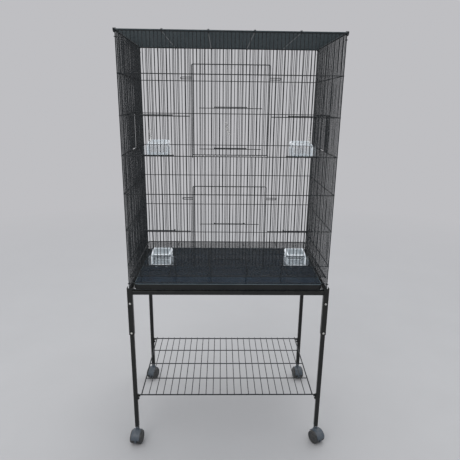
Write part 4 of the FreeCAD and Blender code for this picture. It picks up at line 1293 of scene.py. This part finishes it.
def plugs():
    """Plastic foot plugs, square outside and round inside."""
    shape = Shape()
    for low, high in solids_of("leg_plugs"):
        middle = (low + high) / 2
        half = (high.x - low.x) / 2
        body = half - LEG_WALL - RUNNING_GAP
        step = low.z + PLUG_FLANGE
        stations = [(low.z, half - PLUG_EDGE), (low.z + PLUG_EDGE, half)]
        stations += [(step, half), (step, body), (high.z, body)]
        rings = [level_ring(middle, height, reach, reach, TUBE_CORNER) for height, reach in stations]
        for height in (high.z, low.z):
            centre = at_height(middle, height)
            rings.append(circle(centre, AXES[0], AXES[1], STEM_RADIUS + COAT, len(rings[0])))
        shape.skin(rings, closed=True)
    finish_piece("foot_plugs", shape, [PLUG], "black_plastic", "leg_plugs")


def brackets():
    """Bent steel brackets with a rounded foot, under the ends of the shelf's outer wires."""
    shape = Shape()
    cut = BRACKET_CORNER
    for low, high in solids_of("shelf_brackets"):
        side = math.copysign(1, low.x)
        out_y = math.copysign(1, low.y)
        face, inner = (high.x, low.x) if side > 0 else (low.x, high.x)
        near = face - side * PLATE
        left, right = sorted((near, inner))
        half = (high.y - low.y) / 2
        wire_y = (low.y + high.y) / 2
        seat = high.z - SHELF_WIRE
        outline = arc(Vector((face, wire_y, low.z + half)), AXES[1], -UP, half, 0, 180, steps=14)
        outline += [Vector((face, low.y, high.z - cut)), Vector((face, low.y + cut, high.z))]
        outline += [Vector((face, high.y - cut, high.z)), Vector((face, high.y, high.z - cut))]
        shape.prism(outline, AXES[0] * (near - face))
        shape.block(Vector((left, low.y, seat - PLATE)), Vector((right, high.y, seat)), PLATE_EDGE)
        lip = sorted((wire_y + out_y * BRACKET_LIP, wire_y + out_y * (BRACKET_LIP + PLATE)))
        lip_low = Vector((left, lip[0], seat - SEAM))
        shape.block(lip_low, Vector((right, lip[1], seat + PLATE)), PLATE_EDGE)
        screw = Vector((near, wire_y, low.z + half))
        shape.lathe(screw, AXES[0] * -side, BRACKET_SCREW, sides=20)
    finish_piece("bent_brackets", shape, [TUBE_PAINT], "black_tube", "shelf_brackets")


# --- Casters --------------------------------------------------------------------------------
def raised(profile, height):
    """A turned form's profile, moved up along its axis."""
    return [(along + height, radius) for along, radius in profile]


def caster_hood(node, name, hub, boss, trail, axle):
    """The hood over the wheels, with the web between them and the neck that holds the stem."""
    inner = WHEEL_RADIUS + FENDER_CLEARANCE
    middle = inner + FENDER_WALL / 2
    half = WEB / 2 + WEB_GAP + WHEEL_WIDTH - FENDER_INSET
    shape = Shape()
    rings = []
    steps = 30
    start, end = FENDER_ANGLES
    for step in range(steps + 1):
        turn = math.radians(start + (end - start) * step / steps)
        away = trail * math.cos(turn) + UP * math.sin(turn)
        trim = FENDER_TRIM if step in (0, steps) else 0.0
        thick, wide = FENDER_WALL / 2 - trim, half - trim
        rings.append(rounded_ring(hub + away * middle, away, axle, thick, wide, FENDER_EDGE, steps=3))
    shape.skin(rings)
    drop = math.degrees(math.asin((hub.z - WEB_FOOT) / middle))
    outline = arc(hub - axle * (WEB / 2), trail, UP, middle, -drop, 180 + drop, steps=40)
    shape.prism(outline, axle * WEB)
    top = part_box(node)[1].z
    crown = hub.z + inner + FENDER_WALL
    shape.lathe(boss, UP, raised(BOSS_FOOT, crown) + raised(BOSS_HEAD, top))
    finish_piece(name, shape, [FENDER_PLASTIC], "caster_plastic", node)


def caster(corner):
    """A twin-wheel swivel caster: its hood, its stem, and the wheels."""
    pivot = Vector(JOINT["swivel_" + corner]["pos_m"])
    hub = Vector(JOINT["roll_" + corner]["pos_m"])
    boss = at_height(pivot, 0)
    trail = at_height(hub - pivot, 0).normalized()
    axle = trail.cross(UP)
    caster_hood("caster_hood_" + corner, "caster_fender_" + corner, hub, boss, trail, axle)

    node = "caster_stem_" + corner
    low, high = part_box(node)
    shape = Shape()
    shape.lathe(boss, UP, raised(PIN_FOOT, low.z) + raised(PIN_HEAD, high.z), sides=24)
    finish_piece("caster_pin_" + corner, shape, [ZINC], "zinc", node)

    shape = Shape()
    start = WEB / 2 + WEB_GAP
    profile = [(start + along, WHEEL_RADIUS * share) for along, share in WHEEL_PROFILE]
    for way in (axle, -axle):
        shape.lathe(hub, way, profile, sides=56)
    node = "caster_wheels_" + corner
    finish_piece("caster_pair_" + corner, shape, [TREAD_PLASTIC], "caster_plastic", node)


# --- The object -----------------------------------------------------------------------------
for panel in ("front_panel", "back_panel", "left_panel", "right_panel", "floor_grate"):
    wire_grid(panel, PANEL_BOW, opening=panel in ("left_panel", "right_panel"))
# The roof takes the lighter coat, with its painted reflection.
wire_grid("top_panel", PANEL_BOW, paint=ROOF_REFLECTION_PAINT)
for grid in ("base_frame", "wire_shelf"):
    wire_grid(grid)
clip_rings()
roof_ties()
for row in ("upper", "lower"):
    drop_door(row)
    lift_door(f"{row}_small_door", 1, -1)
    for hand in ("left", "right"):
        lift_door(f"{row}_{hand}_feeder_door", 1, -1)
        cup(f"{row}_{hand}_cup")
spring_hook("small_door", "upper_small_door", FRONT, AXES[0], SPRING_LEAN)
for hand, end in (("left", -1), ("right", 1)):
    spring_hook(f"{hand}_feeder", f"upper_{hand}_feeder_door", FRONT, AXES[0] * end)
    lift_door(f"{hand}_side_door", 0, end)
    spring_hook(f"{hand}_side", f"{hand}_side_door", AXES[0] * end, AXES[1] * end)
tray()
rails()
bolts()
plugs()
brackets()
for corner in ("front_left", "front_right", "back_left", "back_right"):
    sleeve(corner)
    leg(corner)
    caster(corner)

# --- Studio ---------------------------------------------------------------------------------
scene.view_settings.view_transform = "Standard"


def floor_material():
    """Pale matt floor with very faint mottling, which meets the backdrop without a line."""
    material, nodes, shader = new_material("pale floor")
    place = nodes.place()
    away = nodes.add("ShaderNodeVectorMath", operation="LENGTH")
    nodes.put(place, away.inputs[0])
    far = nodes.spread(away.outputs["Value"], *FLOOR_FADE)
    cloud = nodes.spread(nodes.noise(place, 3.0, 4.0), 0.3, 0.7)
    pale = nodes.blend(cloud, lighter(FLOOR_TONE, FLOOR_MOTTLE), FLOOR_TONE)
    nodes.feed(shader, Base_Color=nodes.blend(far, pale, BLACK), Roughness=0.9, Specular_IOR_Level=0.0)
    nodes.feed(shader, Emission_Color=nodes.blend(far, BLACK, BACKDROP), Emission_Strength=1.0)
    return material


mesh = bpy.data.meshes.new("floor")
corners = [(x * FLOOR_REACH, y * FLOOR_REACH, 0) for x, y in ((-1, -1), (1, -1), (1, 1), (-1, 1))]
mesh.from_pydata(corners, [], [(0, 1, 2, 3)])
mesh.materials.append(floor_material())
floor = bpy.data.objects.new("floor", mesh)
scene.collection.objects.link(floor)


def pale_room():
    """A pale backdrop. On the object, light from a bright ceiling that comes down at the back."""
    world = bpy.data.worlds.new("pale room")
    world.use_nodes = True
    nodes = Nodes(world.node_tree)
    split = nodes.add("ShaderNodeSeparateXYZ")
    nodes.put(nodes.add("ShaderNodeTexCoord").outputs["Generated"], split.inputs[0])
    slant = nodes.plus_share(split.outputs["Z"], split.outputs["Y"], CEILING_SLANT)
    shade = nodes.blend(nodes.spread(slant, 0.0, CEILING_START), HORIZON, CEILING)
    rays = nodes.add("ShaderNodeLightPath").outputs
    seen = nodes.maths("MAXIMUM", rays["Is Camera Ray"], rays["Is Transmission Ray"])
    seen = nodes.maths("MAXIMUM", seen, rays["Is Glossy Ray"])
    back = nodes.add("ShaderNodeBackground")
    nodes.feed(back, Color=nodes.blend(seen, shade, BACKDROP), Strength=1.0)
    nodes.feed(nodes.add("ShaderNodeOutputWorld"), Surface=back.outputs[0])
    scene.world = world


def soft_lamp(name, place, target, size, watts):
    """A square area lamp turned to its target."""
    data = bpy.data.lights.new(name, "AREA")
    data.size = size
    data.energy = watts
    lamp = bpy.data.objects.new(name, data)
    lamp.location = place
    lamp.rotation_euler = (Vector(target) - Vector(place)).to_track_quat("-Z", "Y").to_euler()
    scene.collection.objects.link(lamp)


def front_camera():
    """Perspective camera in front of the cage, a little above its middle."""
    pitch, yaw, roll = (math.radians(angle) for angle in (CAMERA_PITCH, CAMERA_YAW, CAMERA_ROLL))
    ahead = Vector((math.sin(yaw) * math.cos(pitch), math.cos(yaw) * math.cos(pitch), -math.sin(pitch)))
    level = Vector((math.cos(yaw), -math.sin(yaw), 0))
    down = ahead.cross(level)
    right = level * math.cos(roll) + down * math.sin(roll)
    down = down * math.cos(roll) - level * math.sin(roll)
    data = bpy.data.cameras.new("camera")
    data.lens = CAMERA_LENS
    data.sensor_width = 36.0
    camera = bpy.data.objects.new("camera", data)
    turn = Matrix((right, -down, -ahead)).transposed().to_4x4()
    camera.matrix_world = Matrix.Translation(CAMERA_PLACE) @ turn
    scene.collection.objects.link(camera)
    scene.camera = camera


pale_room()
soft_lamp("key", **KEY_LAMP)
soft_lamp("top", **TOP_LAMP)
front_camera()
